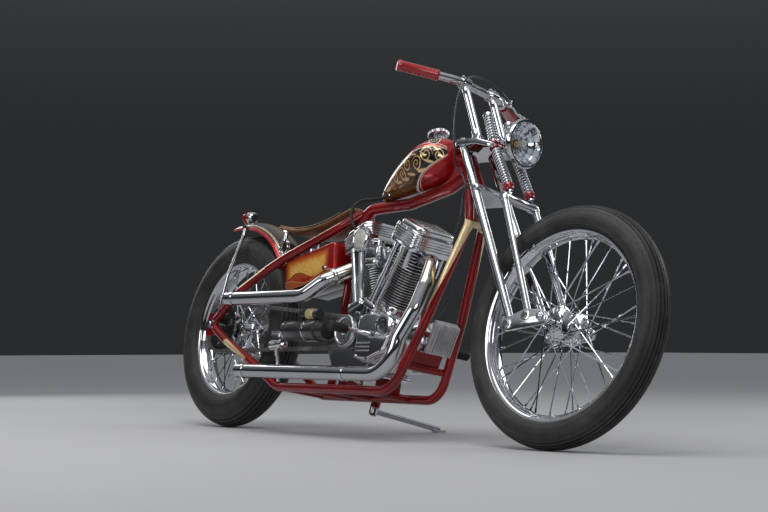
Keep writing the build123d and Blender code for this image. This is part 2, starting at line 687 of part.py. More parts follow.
with BuildPart() as fender_struts:
    for sign in (1, -1):
        add(tube([
            Vector(38, sign * 76, 686), Vector(40, sign * 78, 656), Vector(44, sign * 116, 520),
            Vector(34, sign * 124, 376),
        ], 13, [20, 60]))
        add(across(38, 688, sign * (FENDER_HALF - 8), sign * 78, 14))
    add(rear_fender.part, mode=Mode.SUBTRACT)
    for cradle in cradles.values():
        add(cradle.part, mode=Mode.SUBTRACT)
    add(stays.part, mode=Mode.SUBTRACT)
write(fender_struts, "fender_struts")

TAIL_LIGHT = Vector(-62, 0, 742)
with BuildPart() as tail_light:
    with BuildSketch(Plane(origin=TAIL_LIGHT, z_dir=(-1, 0, 0))):
        Circle(22)
    extrude(amount=34)
    fillet(tail_light.faces().sort_by(Axis.X)[0].edges(), 8)
    with Locations((TAIL_LIGHT.X + 8, 0, 715)):
        Box(20, 16, 30, align=(Align.CENTER, Align.CENTER, Align.MIN))
    add(rear_fender.part, mode=Mode.SUBTRACT)
write(tail_light, "tail_light")

# ================================================================ CHAIN
with BuildPart() as chain:
    with BuildSketch(Plane(origin=(0, SPROCKET_Y, 0), z_dir=(0, -1, 0), x_dir=(1, 0, 0))):
        for grow, mode in ((CHAIN_HEIGHT / 2, Mode.ADD), (-CHAIN_HEIGHT / 2, Mode.SUBTRACT)):
            with BuildSketch(mode=Mode.PRIVATE) as loop:
                with Locations((AXLE.X, AXLE.Z)):
                    Circle(REAR_SPROCKET + grow)
                with Locations((DRIVE_X, DRIVE_Z)):
                    Circle(DRIVE_SPROCKET + grow)
                make_hull()
            add(loop.sketch, mode=mode)
    extrude(amount=CHAIN_WIDTH / 2, both=True)
write(chain, "chain")

with BuildPart() as drive_sprocket:
    with BuildSketch(Plane(origin=(DRIVE_X, -CASE_HALF, DRIVE_Z), z_dir=(0, -1, 0))):
        Circle(14)
    extrude(amount=34)
    with BuildSketch(Plane(origin=(DRIVE_X, SPROCKET_Y, DRIVE_Z), z_dir=(0, -1, 0))):
        Circle(DRIVE_SPROCKET - CHAIN_HEIGHT / 2 - CLEAR)
    extrude(amount=3, both=True)
write(drive_sprocket, "drive_sprocket")

# ================================================================ FOOT CONTROLS
with BuildPart() as foot_peg_right:
    add(across(PEG_X, PEG_Z, -CASE_HALF - 44 - CLEAR, -212, 14))
    add(across(PEG_X, PEG_Z, -206, -PEG_END, 30))
write(foot_peg_right, "foot_peg_right")

with BuildPart() as foot_peg_left:
    add(across(PEG_X, PEG_Z, CASE_HALF + 62, 212, 14))
    add(across(PEG_X, PEG_Z, 206, PEG_END, 30))
write(foot_peg_left, "foot_peg_left")

with BuildPart() as brake_cylinder:
    add(tube([Vector(400, -122, 262), Vector(470, -122, 268)], 34))
    add(tube([Vector(460, -122, 267), Vector(479, -122, 268)], 14))
    with Locations((436, -122, 292)):
        Box(52, 34, 34)
    add(tube([Vector(432, -122, 262), Vector(432, -96, RAIL_HEIGHT + 12)], 12))
    add(cradles["right"].part, mode=Mode.SUBTRACT)
write(brake_cylinder, "brake_cylinder")

# ================================================================ FORK
TREE = 9.0                  # half thickness of a fork tree
ACROSS_AXIS = Vector(cos(radians(RAKE)), 0, sin(radians(RAKE)))
TREE_TOP = 890.0
low_tree = Plane(origin=steering_point(712), x_dir=ACROSS_AXIS, z_dir=STEERING_AXIS)
with BuildPart() as fork_legs:
    for sign in (1, -1):
        add(tube([side(LEG_TOP, sign) + STEERING_AXIS * 32, side(PIVOT, sign)], LEG_TUBE))
    add(tube([steering_point(722), steering_point(876)], STEM))
    with BuildSketch(low_tree):
        with BuildLine():
            FilletPolyline((-14, -6), (34, -82), (58, -82), (58, 82), (34, 82), (-14, 6), radius=9, close=True)
        make_face()
    extrude(amount=TREE, both=True)
    with BuildSketch(Plane.XZ):
        with BuildLine():
            Polyline(
                (1113, 857), (1166, 872), (1240, 872), (1296, 862), (1299, TREE_TOP - 12),
                (1244, TREE_TOP), (1160, TREE_TOP), (1106, 873), close=True,
            )
        make_face()
    extrude(amount=82, both=True)
    fillet(fork_legs.edges().filter_by(Axis.Z, tolerance=25).group_by(Axis.X)[-1], 14)
    chamfer(fork_legs.edges().filter_by(Axis.Z, tolerance=30).group_by(Axis.X)[0], 42)
    for sign in (1, -1):
        add(across(PIVOT.X, PIVOT.Z, sign * (PIVOT.Y - 14), sign * (PIVOT.Y + 20), 16))

with BuildPart() as spring_legs:
    for sign in (1, -1):
        add(tube([side(SPRING_EYE, sign), side(SPRING_SPLIT, sign) + Vector(3, sign * 21, -24)], LEG_TUBE - 6))
    add(across(SPRING_SPLIT.X, SPRING_SPLIT.Z - 24, -72, 72, 30))
    for sign in (1, -1):
        add(across(SPRING_EYE.X, SPRING_EYE.Z, sign * (SPRING_EYE.Y - 12), sign * (SPRING_EYE.Y + 14), 16))

with BuildPart() as springs:
    for sign in (1, -1):
        low_end = side(SPRING_SPLIT, sign)
        plate = side(SPRING_PLATE, sign)
        top = side(SPRING_TOP, sign)
        add(tube([low_end, plate], SPRING_OD - 2))
        add(tube([plate, top], SPRING_OD - 2))
    add(fork_legs.part, mode=Mode.SUBTRACT)
    add(spring_legs.part, mode=Mode.SUBTRACT)

with BuildPart() as rockers:
    for sign in (1, -1):
        with BuildSketch(Plane(origin=(0, sign * ROCKER_Y, 0), z_dir=(0, 1, 0), x_dir=(1, 0, 0))):
            with Locations((PIVOT.X, -PIVOT.Z), (SPRING_EYE.X, -SPRING_EYE.Z), (FRONT_HUB.X, -FRONT_HUB.Z)):
                Circle(20)
            make_hull()
        extrude(amount=4, both=True)
    add(fork_legs.part, mode=Mode.SUBTRACT)
    add(spring_legs.part, mode=Mode.SUBTRACT)
    for sign in (1, -1):
        with Locations(Location(FRONT_HUB, (90, 0, 0))):
            Cylinder(FRONT_AXLE / 2 + CLEAR, 260, mode=Mode.SUBTRACT)
write(fork_legs, "fork_legs", FORK)
write(spring_legs, "fork_spring_legs", FORK)
write(springs, "fork_springs", FORK)
write(rockers, "fork_rockers", FORK)

with BuildPart() as front_axle:
    add(across(FRONT_HUB.X, FRONT_HUB.Z, -118, 118, FRONT_AXLE))
    for sign in (1, -1):
        add(across(FRONT_HUB.X, FRONT_HUB.Z, sign * 102, sign * 114, 28))
write(front_axle, "front_axle", FORK)

# ================================================================ HANDLEBAR
RISER_FOOT = Vector(1226, RISER_HALF, TREE_TOP + CLEAR)
with BuildPart() as risers:
    for sign in (1, -1):
        foot = side(RISER_FOOT, sign)
        top = Vector(BAR_X, sign * RISER_HALF, BAR_Z)
        with BuildSketch(Plane(origin=foot)):
            Circle(18)
        extrude(amount=16)
        add(tube([foot + Vector(0, 0, 9), top], 26))
        add(across(BAR_X, BAR_Z, sign * (RISER_HALF - 16), sign * (RISER_HALF + 16), BAR + 14))
    add(across(BAR_X, BAR_Z, -80, 80, BAR + 0.2), mode=Mode.SUBTRACT)
write(risers, "handlebar_risers", FORK)

with BuildPart() as bar:
    add(tube([
        Vector(BAR_END_X, -BAR_HALF, BAR_Z), Vector(BAR_X, -RISER_HALF - 30, BAR_Z),
        Vector(BAR_X, RISER_HALF + 30, BAR_Z), Vector(BAR_END_X, BAR_HALF, BAR_Z),
    ], BAR, 60))
write(bar, "handlebar", FORK)

with BuildPart() as grips:
    for sign in (1, -1):
        outer = Vector(BAR_END_X, sign * BAR_HALF, BAR_Z)
        inward = (Vector(BAR_X, sign * (RISER_HALF + 30), BAR_Z) - outer).normalized()
        add(tube([outer - inward * 6, outer + inward * GRIP_LENGTH], GRIP))
    add(bar.part, mode=Mode.SUBTRACT)
write(grips, "grips", FORK)

# Clutch lever on the left: a clamp round the bar, the lever and the barrel its cable leaves by.
BAR_CORNER = Vector(BAR_X, RISER_HALF + 30, BAR_Z)
outward = (Vector(BAR_END_X, BAR_HALF, BAR_Z) - BAR_CORNER).normalized()
ahead = Vector(outward.Y, -outward.X, 0)
PERCH = BAR_CORNER + outward * 30
LEVER_PIVOT = PERCH + ahead * 34
LEVER_END = PERCH + outward * 134 + ahead * 42
BARREL_END = LEVER_PIVOT - outward * 26
with BuildPart() as hand_lever:
    add(tube([PERCH - outward * 11, PERCH + outward * 11], BAR + 12))
    add(tube([PERCH, LEVER_PIVOT], 13))
    add(tube([LEVER_PIVOT - outward * 8, LEVER_PIVOT + outward * 60, LEVER_END], 10, 80))
    with Locations(LEVER_END):
        Sphere(8)
    with Locations(Location(LEVER_PIVOT)):
        Cylinder(10, 18)
    add(tube([LEVER_PIVOT, BARREL_END], 12))
    add(tube([PERCH - outward * 20, PERCH + outward * 20], BAR + 0.2), mode=Mode.SUBTRACT)
write(hand_lever, "hand_lever", FORK)

LENS = Vector(1373.0, 0.0, 890.0)
LAMP_RADIUS = 70.0
LAMP_DEPTH = 66.0
with BuildPart() as headlight_shell:
    with BuildSketch(Plane(origin=LENS)):
        with BuildLine():
            Polyline((0, 0), (0, LAMP_RADIUS), (-12, LAMP_RADIUS + 4))
            Spline((-12, LAMP_RADIUS + 4), (-40, LAMP_RADIUS - 10), (-LAMP_DEPTH, 0))
            Line((-LAMP_DEPTH, 0), (0, 0))
        make_face()
    revolve(axis=Axis(LENS, (1, 0, 0)))
    add(tube([Vector(1288, 0, 871), LENS + Vector(20 - LAMP_DEPTH, 0, 0)], 18))
    add(fork_legs.part, mode=Mode.SUBTRACT)
write(headlight_shell, "headlight_shell", FORK)
with BuildPart() as headlight_lens:
    with BuildSketch(Plane(origin=LENS + Vector(CLEAR, 0, 0), z_dir=(1, 0, 0))):
        Circle(LAMP_RADIUS - 6)
    extrude(amount=7)
write(headlight_lens, "headlight_lens", FORK)

# ================================================================ CLUTCH CABLE
# Held all the way: from the lever over the bar, down beside the neck, then behind the
# downtubes to the case. It is parted on a plane square to the steering axis.
CABLE = 6.0


def beside_neck(along, ahead_of_axis, y):
    """A point by its distances along and ahead of the steering axis."""
    return steering_point(NECK_Z) + STEERING_AXIS * along + ACROSS_AXIS * ahead_of_axis + Vector(0, y, 0)


def cable(points):
    """A cable with every bend as wide as its two runs allow."""
    radii = []
    for before, corner, after in zip(points, points[1:], points[2:]):
        turn = radians((corner - before).get_angle(after - corner))
        radii.append(0.45 * min((corner - before).length, (after - corner).length) / tan(turn / 2))
    return tube(points, CABLE, radii)


PARTING = 60.0              # along the steering axis
with BuildPart() as clutch_cable_upper:
    add(cable([
        BARREL_END, Vector(1158, 84, 1083), Vector(1153, 42, 1099), Vector(1146, -2, 1108),
        Vector(1146, -46, 1104), Vector(1152, -84, 1084), Vector(1160, -106, 1046), Vector(1163, -113, 1000),
        Vector(1164, -111, 952), Vector(1166, -104, 906), Vector(1170, -93, 862),
        beside_neck(PARTING + 50, -6, -72), beside_neck(PARTING + 24, 0, -54), beside_neck(PARTING + CLEAR, 0, -54),
    ]))
write(clutch_cable_upper, "clutch_cable_upper", FORK)

CABLE_SEAT = Vector(CRANK_X + 108, 16, 338)
with BuildPart() as clutch_cable_lower:
    add(cable([
        moved(TURNED, beside_neck(PARTING, 0, -54)), moved(TURNED, beside_neck(PARTING - 26, 0, -54)),
        beside_neck(4, -30, -51),
        beside_neck(-36, -46, -54), Vector(1186, -48, 618), Vector(1170, -32, 560), Vector(1158, -13, 505),
        Vector(1142, 2, 455), Vector(1118, 10, 410), Vector(1080, 14, 375), Vector(1030, 16, 350), CABLE_SEAT,
    ]))
    add(tube([CABLE_SEAT, CABLE_SEAT + Vector(30, 0, 5)], 12))
    add(crankcase.part, mode=Mode.SUBTRACT)
write(clutch_cable_lower, "clutch_cable_lower")

# ================================================================ SIDE STAND
foot_down = moved(PARKED, STAND_PIVOT) + STAND_REACH
foot_down = Vector(foot_down.X, foot_down.Y, 0)
foot = Plane(PARKED).to_local_coords(foot_down)
with BuildPart() as side_stand:
    eye_top = STAND_PIVOT - STAND_AXIS * RUNNING
    eye_middle = eye_top - STAND_AXIS * (STAND_EYE / 2)
    with Locations(Plane(origin=eye_top, z_dir=STAND_AXIS)):
        Cylinder(14, STAND_EYE, align=(Align.CENTER, Align.CENTER, Align.MAX))
    add(tube([eye_middle, foot + Vector(0, 0, 10)], STAND_LEG))
    with Locations(Plane(origin=STAND_PIVOT, z_dir=STAND_AXIS)):
        Cylinder(STAND_PIN / 2 + RUNNING / 2, 120, mode=Mode.SUBTRACT)
with BuildPart() as parked_stand:
    add(side_stand.part.moved(PARKED))
    with Locations(foot_down):
        Cylinder(24, 6, align=(Align.CENTER, Align.CENTER, Align.MIN))
    with Locations(foot_down):
        Box(200, 200, 100, align=(Align.CENTER, Align.CENTER, Align.MAX), mode=Mode.SUBTRACT)
write(parked_stand, "side_stand", Location((0, 0, 0)))
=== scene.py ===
"""Looks of the chopper motorcycle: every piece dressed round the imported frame.

Pieces are modelled on an upright machine, X forward from the rear axle, Y to the left and
Z up from the ground, in metres. Each finished mesh is then parked: leaned on its side
stand, and the fork's pieces turned with the steering as well.
"""

import json
from math import atan2, cos, pi, radians, sin, sqrt, tan

import bpy
from mathutils import Matrix, Vector


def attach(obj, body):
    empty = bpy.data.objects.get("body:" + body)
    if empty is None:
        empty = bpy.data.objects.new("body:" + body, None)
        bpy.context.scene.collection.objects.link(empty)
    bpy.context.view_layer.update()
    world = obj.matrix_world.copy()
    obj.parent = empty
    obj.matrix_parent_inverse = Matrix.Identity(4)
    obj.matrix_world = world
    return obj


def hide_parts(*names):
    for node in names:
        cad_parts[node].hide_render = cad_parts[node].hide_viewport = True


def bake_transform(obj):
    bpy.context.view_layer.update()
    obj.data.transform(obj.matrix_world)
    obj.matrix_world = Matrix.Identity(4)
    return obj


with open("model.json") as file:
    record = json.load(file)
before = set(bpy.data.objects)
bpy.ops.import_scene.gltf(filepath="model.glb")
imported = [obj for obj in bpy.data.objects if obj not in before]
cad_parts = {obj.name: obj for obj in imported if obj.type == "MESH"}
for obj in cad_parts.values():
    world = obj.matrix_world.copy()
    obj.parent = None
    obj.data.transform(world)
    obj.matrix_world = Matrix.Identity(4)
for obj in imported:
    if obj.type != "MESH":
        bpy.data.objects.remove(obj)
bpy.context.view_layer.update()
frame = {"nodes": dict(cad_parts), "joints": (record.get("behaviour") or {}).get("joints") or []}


# ============================================================ STANCE
# How the machine stands: read from the joints, which say where the two axles and the
# steering axis lie once it leans on its stand.
REAR_RADIUS = 0.336
FRONT_RADIUS = 0.345
WHEELBASE = 1.655
RAKE = radians(34)
NECK = Vector((1.23, 0, 0.72))

joints = {joint["name"]: joint for joint in frame["joints"]}
rear_hub = Vector(joints["rear_wheel_spin"]["pos_m"])
front_hub = Vector(joints["front_wheel_spin"]["pos_m"])
rear_across = Vector(joints["rear_wheel_spin"]["axis"]).normalized()
front_across = Vector(joints["front_wheel_spin"]["axis"]).normalized()
steering_up = Vector(joints["steering"]["axis"]).normalized()


def placing(forward, across, up, origin):
    """The matrix that takes upright coordinates to parked ones."""
    turn = Matrix((forward, across, up)).transposed().to_4x4()
    return Matrix.Translation(origin) @ turn


rear_forward = Vector((rear_across.z, 0, -rear_across.x)).normalized()
rear_forward = rear_forward if rear_forward.x > 0 else -rear_forward
rear_up = rear_forward.cross(rear_across)
PARKED = placing(rear_forward, rear_across, rear_up, rear_hub - rear_up * REAR_RADIUS)

ahead_of_axis = front_across.cross(steering_up)
fork_forward = ahead_of_axis * cos(RAKE) - steering_up * sin(RAKE)
fork_up = ahead_of_axis * sin(RAKE) + steering_up * cos(RAKE)
FORK = placing(
    fork_forward, front_across, fork_up, front_hub - fork_forward * WHEELBASE - fork_up * FRONT_RADIUS
)
STEERING = Vector((-sin(RAKE), 0, cos(RAKE)))
ACROSS = Vector((cos(RAKE), 0, sin(RAKE)))


# ============================================================ FINISHES OF THE METAL
# The bright parts are chromed steel and polished aluminium, the regulator is a raw casting,
# the chain is bare steel, and small painted parts are red lacquer over a bright base.
class Wire:
    """A socket of a material. Sums and products of wires add Math nodes."""

    def __init__(self, tree, socket):
        self.tree = tree
        self.socket = socket

    def math(self, operation, *values):
        node = self.tree.nodes.new("ShaderNodeMath")
        node.operation = operation
        for slot, value in zip(node.inputs, values):
            if isinstance(value, Wire):
                self.tree.links.new(value.socket, slot)
            else:
                slot.default_value = value
        return Wire(self.tree, node.outputs[0])

    def __add__(self, other):
        return self.math("ADD", self, other)

    def __radd__(self, other):
        return self.math("ADD", other, self)

    def __sub__(self, other):
        return self.math("SUBTRACT", self, other)

    def __rsub__(self, other):
        return self.math("SUBTRACT", other, self)

    def __mul__(self, other):
        return self.math("MULTIPLY", self, other)

    def __rmul__(self, other):
        return self.math("MULTIPLY", other, self)

    def __abs__(self):
        return self.math("ABSOLUTE", self)

    def less(self, other):
        return self.math("MINIMUM", self, other)

    def more(self, other):
        return self.math("MAXIMUM", self, other)

    def sine(self):
        return self.math("SINE", self)

    def root(self):
        return self.math("SQRT", self)

    def whole_turns(self, turn):
        """What is left after whole multiples of a length."""
        return self.math("FLOORED_MODULO", self, turn)

    def rise(self, low, high):
        """0 below low, 1 above high, smooth between."""
        node = self.tree.nodes.new("ShaderNodeMapRange")
        node.interpolation_type = "SMOOTHSTEP"
        self.tree.links.new(self.socket, node.inputs["Value"])
        node.inputs["From Min"].default_value = low
        node.inputs["From Max"].default_value = high
        return Wire(self.tree, node.outputs[0])

    def band(self, middle, half, soft):
        """1 within half of the middle, falling to 0 over soft."""
        return 1 - abs(self - middle).rise(half, half + soft)


class Finish:
    """A material: its Principled shader and the nodes that feed it."""

    def __init__(self, name, **constants):
        self.material = bpy.data.materials.new(name)
        self.material.use_nodes = True
        self.tree = self.material.node_tree
        self.shader = self.tree.nodes["Principled BSDF"]
        for socket, value in constants.items():
            self.shader.inputs[socket.replace("_", " ")].default_value = value

    def node(self, kind, settings=None, output=0, **sockets):
        """One node: its settings first, then the values or wires of its sockets."""
        node = self.tree.nodes.new("ShaderNode" + kind)
        for name, value in (settings or {}).items():
            setattr(node, name, value)
        for name, value in sockets.items():
            slot = node.inputs[int(name[1:]) if name[1:].isdigit() else name.replace("_", " ")]
            if isinstance(value, Wire):
                self.tree.links.new(value.socket, slot)
            else:
                slot.default_value = value
        return Wire(self.tree, node.outputs[output])

    def feed(self, socket, wire):
        self.tree.links.new(wire.socket, self.shader.inputs[socket.replace("_", " ")])

    def place(self, matrix=None):
        """Object coordinates, taken back to the upright machine where a matrix is given."""
        found = self.node("TexCoord", output="Object")
        if matrix is None:
            return found
        back = matrix.inverted()
        return self.node(
            "Mapping", Vector=found, Location=back.translation, Rotation=back.to_euler()
        )

    def parts(self, vector):
        split = self.node("SeparateXYZ", Vector=vector)
        node = split.socket.node
        return [Wire(self.tree, node.outputs[axis]) for axis in range(3)]

    def noise(self, vector, scale, detail=2.0, roughness=0.5):
        return self.node("TexNoise", Vector=vector, Scale=scale, Detail=detail, Roughness=roughness)

    def mix(self, factor, first, second):
        """Two colours, each a wire or its red, green and blue."""
        first, second = [shade if isinstance(shade, Wire) else (*shade, 1) for shade in (first, second)]
        return self.node("Mix", {"data_type": "RGBA"}, output=2, _0=factor, _6=first, _7=second)

    def tint(self, factor, first, second):
        """Base colour that goes from one colour to another."""
        self.feed("Base_Color", self.mix(factor, first, second))

    def bump(self, height, strength, distance):
        self.feed("Normal", self.node("Bump", Height=height, Strength=strength, Distance=distance))


def chrome_finish():
    metal = Finish("chrome", Metallic=1.0)
    film = metal.noise(metal.place(), 38, 5)
    metal.tint(film.rise(0.35, 0.8), (0.62, 0.63, 0.66), (0.5, 0.51, 0.53))
    metal.feed("Roughness", 0.035 + film.rise(0.45, 0.8) * 0.09)
    return metal.material


def polished_finish():
    metal = Finish("polished_aluminium", Metallic=1.0)
    place = metal.place()
    wear = metal.noise(place, 26, 6, 0.6)
    metal.tint(wear.rise(0.35, 0.75), (0.86, 0.87, 0.89), (0.62, 0.63, 0.65))
    metal.feed("Roughness", 0.08 + wear * 0.14)
    metal.bump(metal.noise(place, 420, 2), 0.03, 0.0006)
    return metal.material


def casting_finish():
    metal = Finish("raw_casting", Metallic=0.55)
    place = metal.place()
    grime = metal.noise(place, 30, 5, 0.6)
    metal.tint(grime.rise(0.3, 0.75), (0.74, 0.74, 0.76), (0.5, 0.5, 0.51))
    metal.feed("Roughness", 0.28 + grime * 0.2)
    metal.bump(metal.noise(place, 900, 2), 0.12, 0.0004)
    return metal.material


def steel_finish():
    metal = Finish("bare_steel", Metallic=1.0)
    place = metal.place()
    stain = metal.noise(place, 45, 5, 0.6)
    metal.tint(stain.rise(0.3, 0.8), (0.42, 0.42, 0.43), (0.2, 0.19, 0.18))
    metal.feed("Roughness", 0.28 + stain * 0.3)
    metal.bump(metal.noise(place, 600, 2), 0.12, 0.0005)
    return metal.material


def black_finish():
    paint = Finish("black_enamel", Coat_Weight=0.6, Coat_Roughness=0.12)
    place = paint.place()
    dust = paint.noise(place, 24, 5, 0.6)
    paint.tint(dust.rise(0.45, 0.9), (0.012, 0.012, 0.013), (0.04, 0.04, 0.04))
    paint.feed("Roughness", 0.25 + dust * 0.2)
    paint.bump(paint.noise(place, 500, 2), 0.08, 0.0004)
    return paint.material


def rubber_finish():
    rubber = Finish("black_rubber", Specular_IOR_Level=0.35)
    place = rubber.place()
    dust = rubber.noise(place, 20, 6, 0.65)
    rubber.tint(dust.rise(0.4, 0.85), (0.012, 0.012, 0.013), (0.045, 0.044, 0.043))
    rubber.feed("Roughness", 0.5 + dust * 0.25)
    rubber.bump(rubber.noise(place, 700, 2), 0.2, 0.0004)
    return rubber.material


def candy_red(name):
    """Red lacquer over bright flake, under clear coat."""
    paint = Finish(name, Coat_Weight=1.0, Coat_Roughness=0.04)
    place = paint.place()
    depth = paint.noise(place, 9, 3)
    red = paint.mix(depth.rise(0.3, 0.7), (0.34, 0.003, 0.005), (0.2, 0.0015, 0.003))
    paint.feed("Base_Color", red)
    paint.feed("Metallic", 0.2 + paint.noise(place, 1400, 1) * 0.3)
    paint.feed("Roughness", 0.22 + depth * 0.12)
    return paint.material


chrome = chrome_finish()
polished = polished_finish()
casting = casting_finish()
steel = steel_finish()
black = black_finish()
rubber = rubber_finish()
red_lacquer = candy_red("red_lacquer")


def finish_nodes(material, *names):
    """Gives carried-over nodes their material."""
    for name in names:
        node = frame["nodes"][name]
        node.data.materials.clear()
        node.data.materials.append(material)


finish_nodes(chrome, "side_stand")


# ============================================================ TYRES
# Ribbed road tyres: moulded rubber with round grooves that run all the way round, fine
# sipes across the tread and raised rings on the side walls. They sit on the rims' beds.
def deselect():
    if bpy.context.object and bpy.context.object.mode != "OBJECT":
        bpy.ops.object.mode_set(mode="OBJECT")
    bpy.ops.object.select_all(action="DESELECT")


def only(piece):
    """Makes one piece the selected and active one."""
    deselect()
    piece.select_set(True)
    bpy.context.view_layer.objects.active = piece
    return piece


AHEAD = Vector((1, 0, 0))
BACK = Vector((-1, 0, 0))
LEFT = Vector((0, 1, 0))
RIGHT = Vector((0, -1, 0))
UP = Vector((0, 0, 1))


def spun(name, profile, centre, axis=LEFT, start=AHEAD, steps=48):
    """A closed profile of (radius, distance along the axis) points, spun all round."""
    deselect()
    bpy.ops.mesh.primitive_circle_add(vertices=len(profile), fill_type="NOTHING")
    piece = bpy.context.object
    piece.name = name
    for vertex, (radius, along) in zip(piece.data.vertices, profile):
        vertex.co = centre + start * radius + axis * along
    bpy.ops.object.mode_set(mode="EDIT")
    bpy.ops.mesh.select_all(action="SELECT")
    bpy.ops.mesh.spin(steps=steps, angle=2 * pi, center=centre, axis=axis, use_auto_merge=False)
    bpy.ops.mesh.select_all(action="SELECT")
    bpy.ops.mesh.remove_doubles(threshold=0.00002)
    bpy.ops.mesh.normals_make_consistent(inside=False)
    bpy.ops.object.mode_set(mode="OBJECT")
    return piece


def joined(pieces, name):
    """Several pieces as one."""
    deselect()
    for piece in pieces:
        piece.select_set(True)
    bpy.context.view_layer.objects.active = pieces[0]
    if len(pieces) > 1:
        bpy.ops.object.join()
    pieces[0].name = name
    return pieces[0]


def fitted(piece, material, body, *nodes, slot, smooth=35):
    """Parks a finished piece on its body, if it has one, and gives it its material."""
    only(piece)
    bpy.ops.object.transform_apply(location=True, rotation=True, scale=True)
    if body:
        piece.data.transform(FORK if body in ("fork", "front_wheel") else PARKED)
    piece.data.materials.clear()
    piece.data.materials.append(material)
    bpy.ops.object.shade_smooth_by_angle(angle=radians(smooth))
    if body:
        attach(piece, body)
    if nodes:
        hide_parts(*nodes)
    return piece


REAR_AXLE = UP * REAR_RADIUS
FRONT_AXLE = Vector((WHEELBASE, 0, FRONT_RADIUS))


SIPE_SLANT = 60.0


def tyre_finish(name, place_matrix, centre, sipes, tread_half):
    """Rubber with sipes across the tread, counted round the wheel."""
    rubber = Finish(name, Specular_IOR_Level=0.4)
    place = rubber.place(place_matrix)
    x, y, z = rubber.parts(place)
    round_wheel = (z - centre.z).math("ARCTAN2", z - centre.z, x - centre.x) * (sipes / (2 * pi))
    slant = abs(y) * SIPE_SLANT
    cut = (round_wheel + slant).whole_turns(1.0).band(0.5, 0.05, 0.05)
    on_tread = 1 - abs(y).rise(tread_half, tread_half + 0.002)
    dust = rubber.noise(place, 16, 6, 0.65)
    rubber.tint(dust.rise(0.35, 0.85), (0.014, 0.014, 0.015), (0.05, 0.05, 0.05))
    rubber.feed("Roughness", 0.42 + dust * 0.25)
    rubber.bump(rubber.noise(place, 500, 2) * 0.15 - cut * on_tread, 0.5, 0.0012)
    return rubber.material


def tyre(name, centre, radius, crown, rim_radius, bead_half, grooves, rings):
    """The section is a round tube cut off at the rim; grooves and rings are
    (degrees from the crown, half width in degrees, depth)."""
    edges = [(at + side * half * part, depth * deep) for at, half, depth in grooves + rings
             for side in (-1, 1) for part, deep in ((1.0, 0.0), (0.55, 1.0))]
    plain = [(angle, 0.0) for angle in range(-132, 133, 4)
             if all(abs(angle - at) > half * 1.2 for at, half, depth in grooves + rings)]
    profile = []
    for angle, depth in sorted(edges + plain):
        reach = crown - depth
        profile.append((radius - crown + reach * cos(radians(angle)), reach * sin(radians(angle))))
    profile = [point for point in profile if point[0] > rim_radius - 0.002]
    profile += [
        (rim_radius - 0.012, bead_half),
        (rim_radius - 0.0145, bead_half - 0.003),
        (rim_radius - 0.0145, -bead_half + 0.003),
        (rim_radius - 0.012, -bead_half),
    ]
    return spun(name, profile, centre, steps=144)


def mirrored_marks(marks):
    """The same marks on both sides of the crown."""
    return marks + [(-at, half, depth) for at, half, depth in marks if at]


front_tyre = tyre(
    "front_tyre_dressed", FRONT_AXLE, FRONT_RADIUS - 0.0004, 0.043, 0.281, 0.0255,
    mirrored_marks([(0, 2.2, 0.0035), (14, 2.2, 0.0035), (29, 2.2, 0.0035), (44, 1.6, 0.002)]),
    mirrored_marks([(60, 1.6, -0.0007), (66, 1.2, -0.0006), (96, 1.4, -0.0007), (118, 1.2, -0.0006)]),
)
fitted(front_tyre, tyre_finish("front_tread", FORK, FRONT_AXLE, 150, 0.03), "front_wheel", "front_tyre",
       slot="tyre_rubber")

rear_tyre = tyre(
    "rear_tyre_dressed", REAR_AXLE, REAR_RADIUS - 0.0004, 0.059, 0.2425, 0.0335,
    mirrored_marks([(0, 2.0, 0.005), (14, 1.8, 0.005), (28, 1.8, 0.005), (42, 1.6, 0.004)]),
    mirrored_marks([(58, 1.2, -0.0008), (64, 1.2, -0.0007), (98, 1.2, -0.0009), (112, 1.2, -0.0007)]),
)
fitted(rear_tyre, tyre_finish("rear_tread", PARKED, REAR_AXLE, 110, 0.043), "rear_wheel", "rear_tyre",
       slot="tyre_rubber")


# ============================================================ RIMS
# Chromed steel drop-centre rims: two rolled lips, a bed for the tyre's beads and a well
# that takes the spoke nipples.
def rim(name, centre, radius, width):
    half = width / 2
    side = [
        (radius - 0.0005, half - 0.0035), (radius + 0.0005, half - 0.0018),
        (radius - 0.0005, half - 0.0003), (radius - 0.003, half), (radius - 0.008, half - 0.0008),
        (radius - 0.0145, half - 0.0022), (radius - 0.0185, half - 0.0045),
        (radius - 0.0205, half - 0.0095), (radius - 0.0235, half * 0.55), (radius - 0.029, half * 0.4),
        (radius - 0.0302, half * 0.22), (radius - 0.0302, 0.0),
    ]
    bed = [(radius - 0.0165, -half + 0.0065), (radius - 0.0145, -half + 0.0048)]
    profile = side + [(r, -y) for r, y in reversed(side[:-1])]
    profile += [(r, y) for r, y in reversed(bed)] + [(r, -y) for r, y in bed]
    return spun(name, profile, centre, steps=144)


RIM_FRONT, RIM_REAR = 0.281, 0.2425
front_rim = rim("front_rim_dressed", FRONT_AXLE, RIM_FRONT, 0.062)
fitted(front_rim, chrome, "front_wheel", "front_rim", slot="chrome", smooth=50)
rear_rim = rim("rear_rim_dressed", REAR_AXLE, RIM_REAR, 0.078)
fitted(rear_rim, chrome, "rear_wheel", "rear_rim", slot="chrome", smooth=50)


# ============================================================ HUBS AND SPOKES
# Chromed hubs with drilled flanges, laced with forty bright spokes each: ten from either
# face of each flange, half leading and half trailing, pulled up by nipples in the rim.
SPOKE = 0.0022
NIPPLE = 0.0038


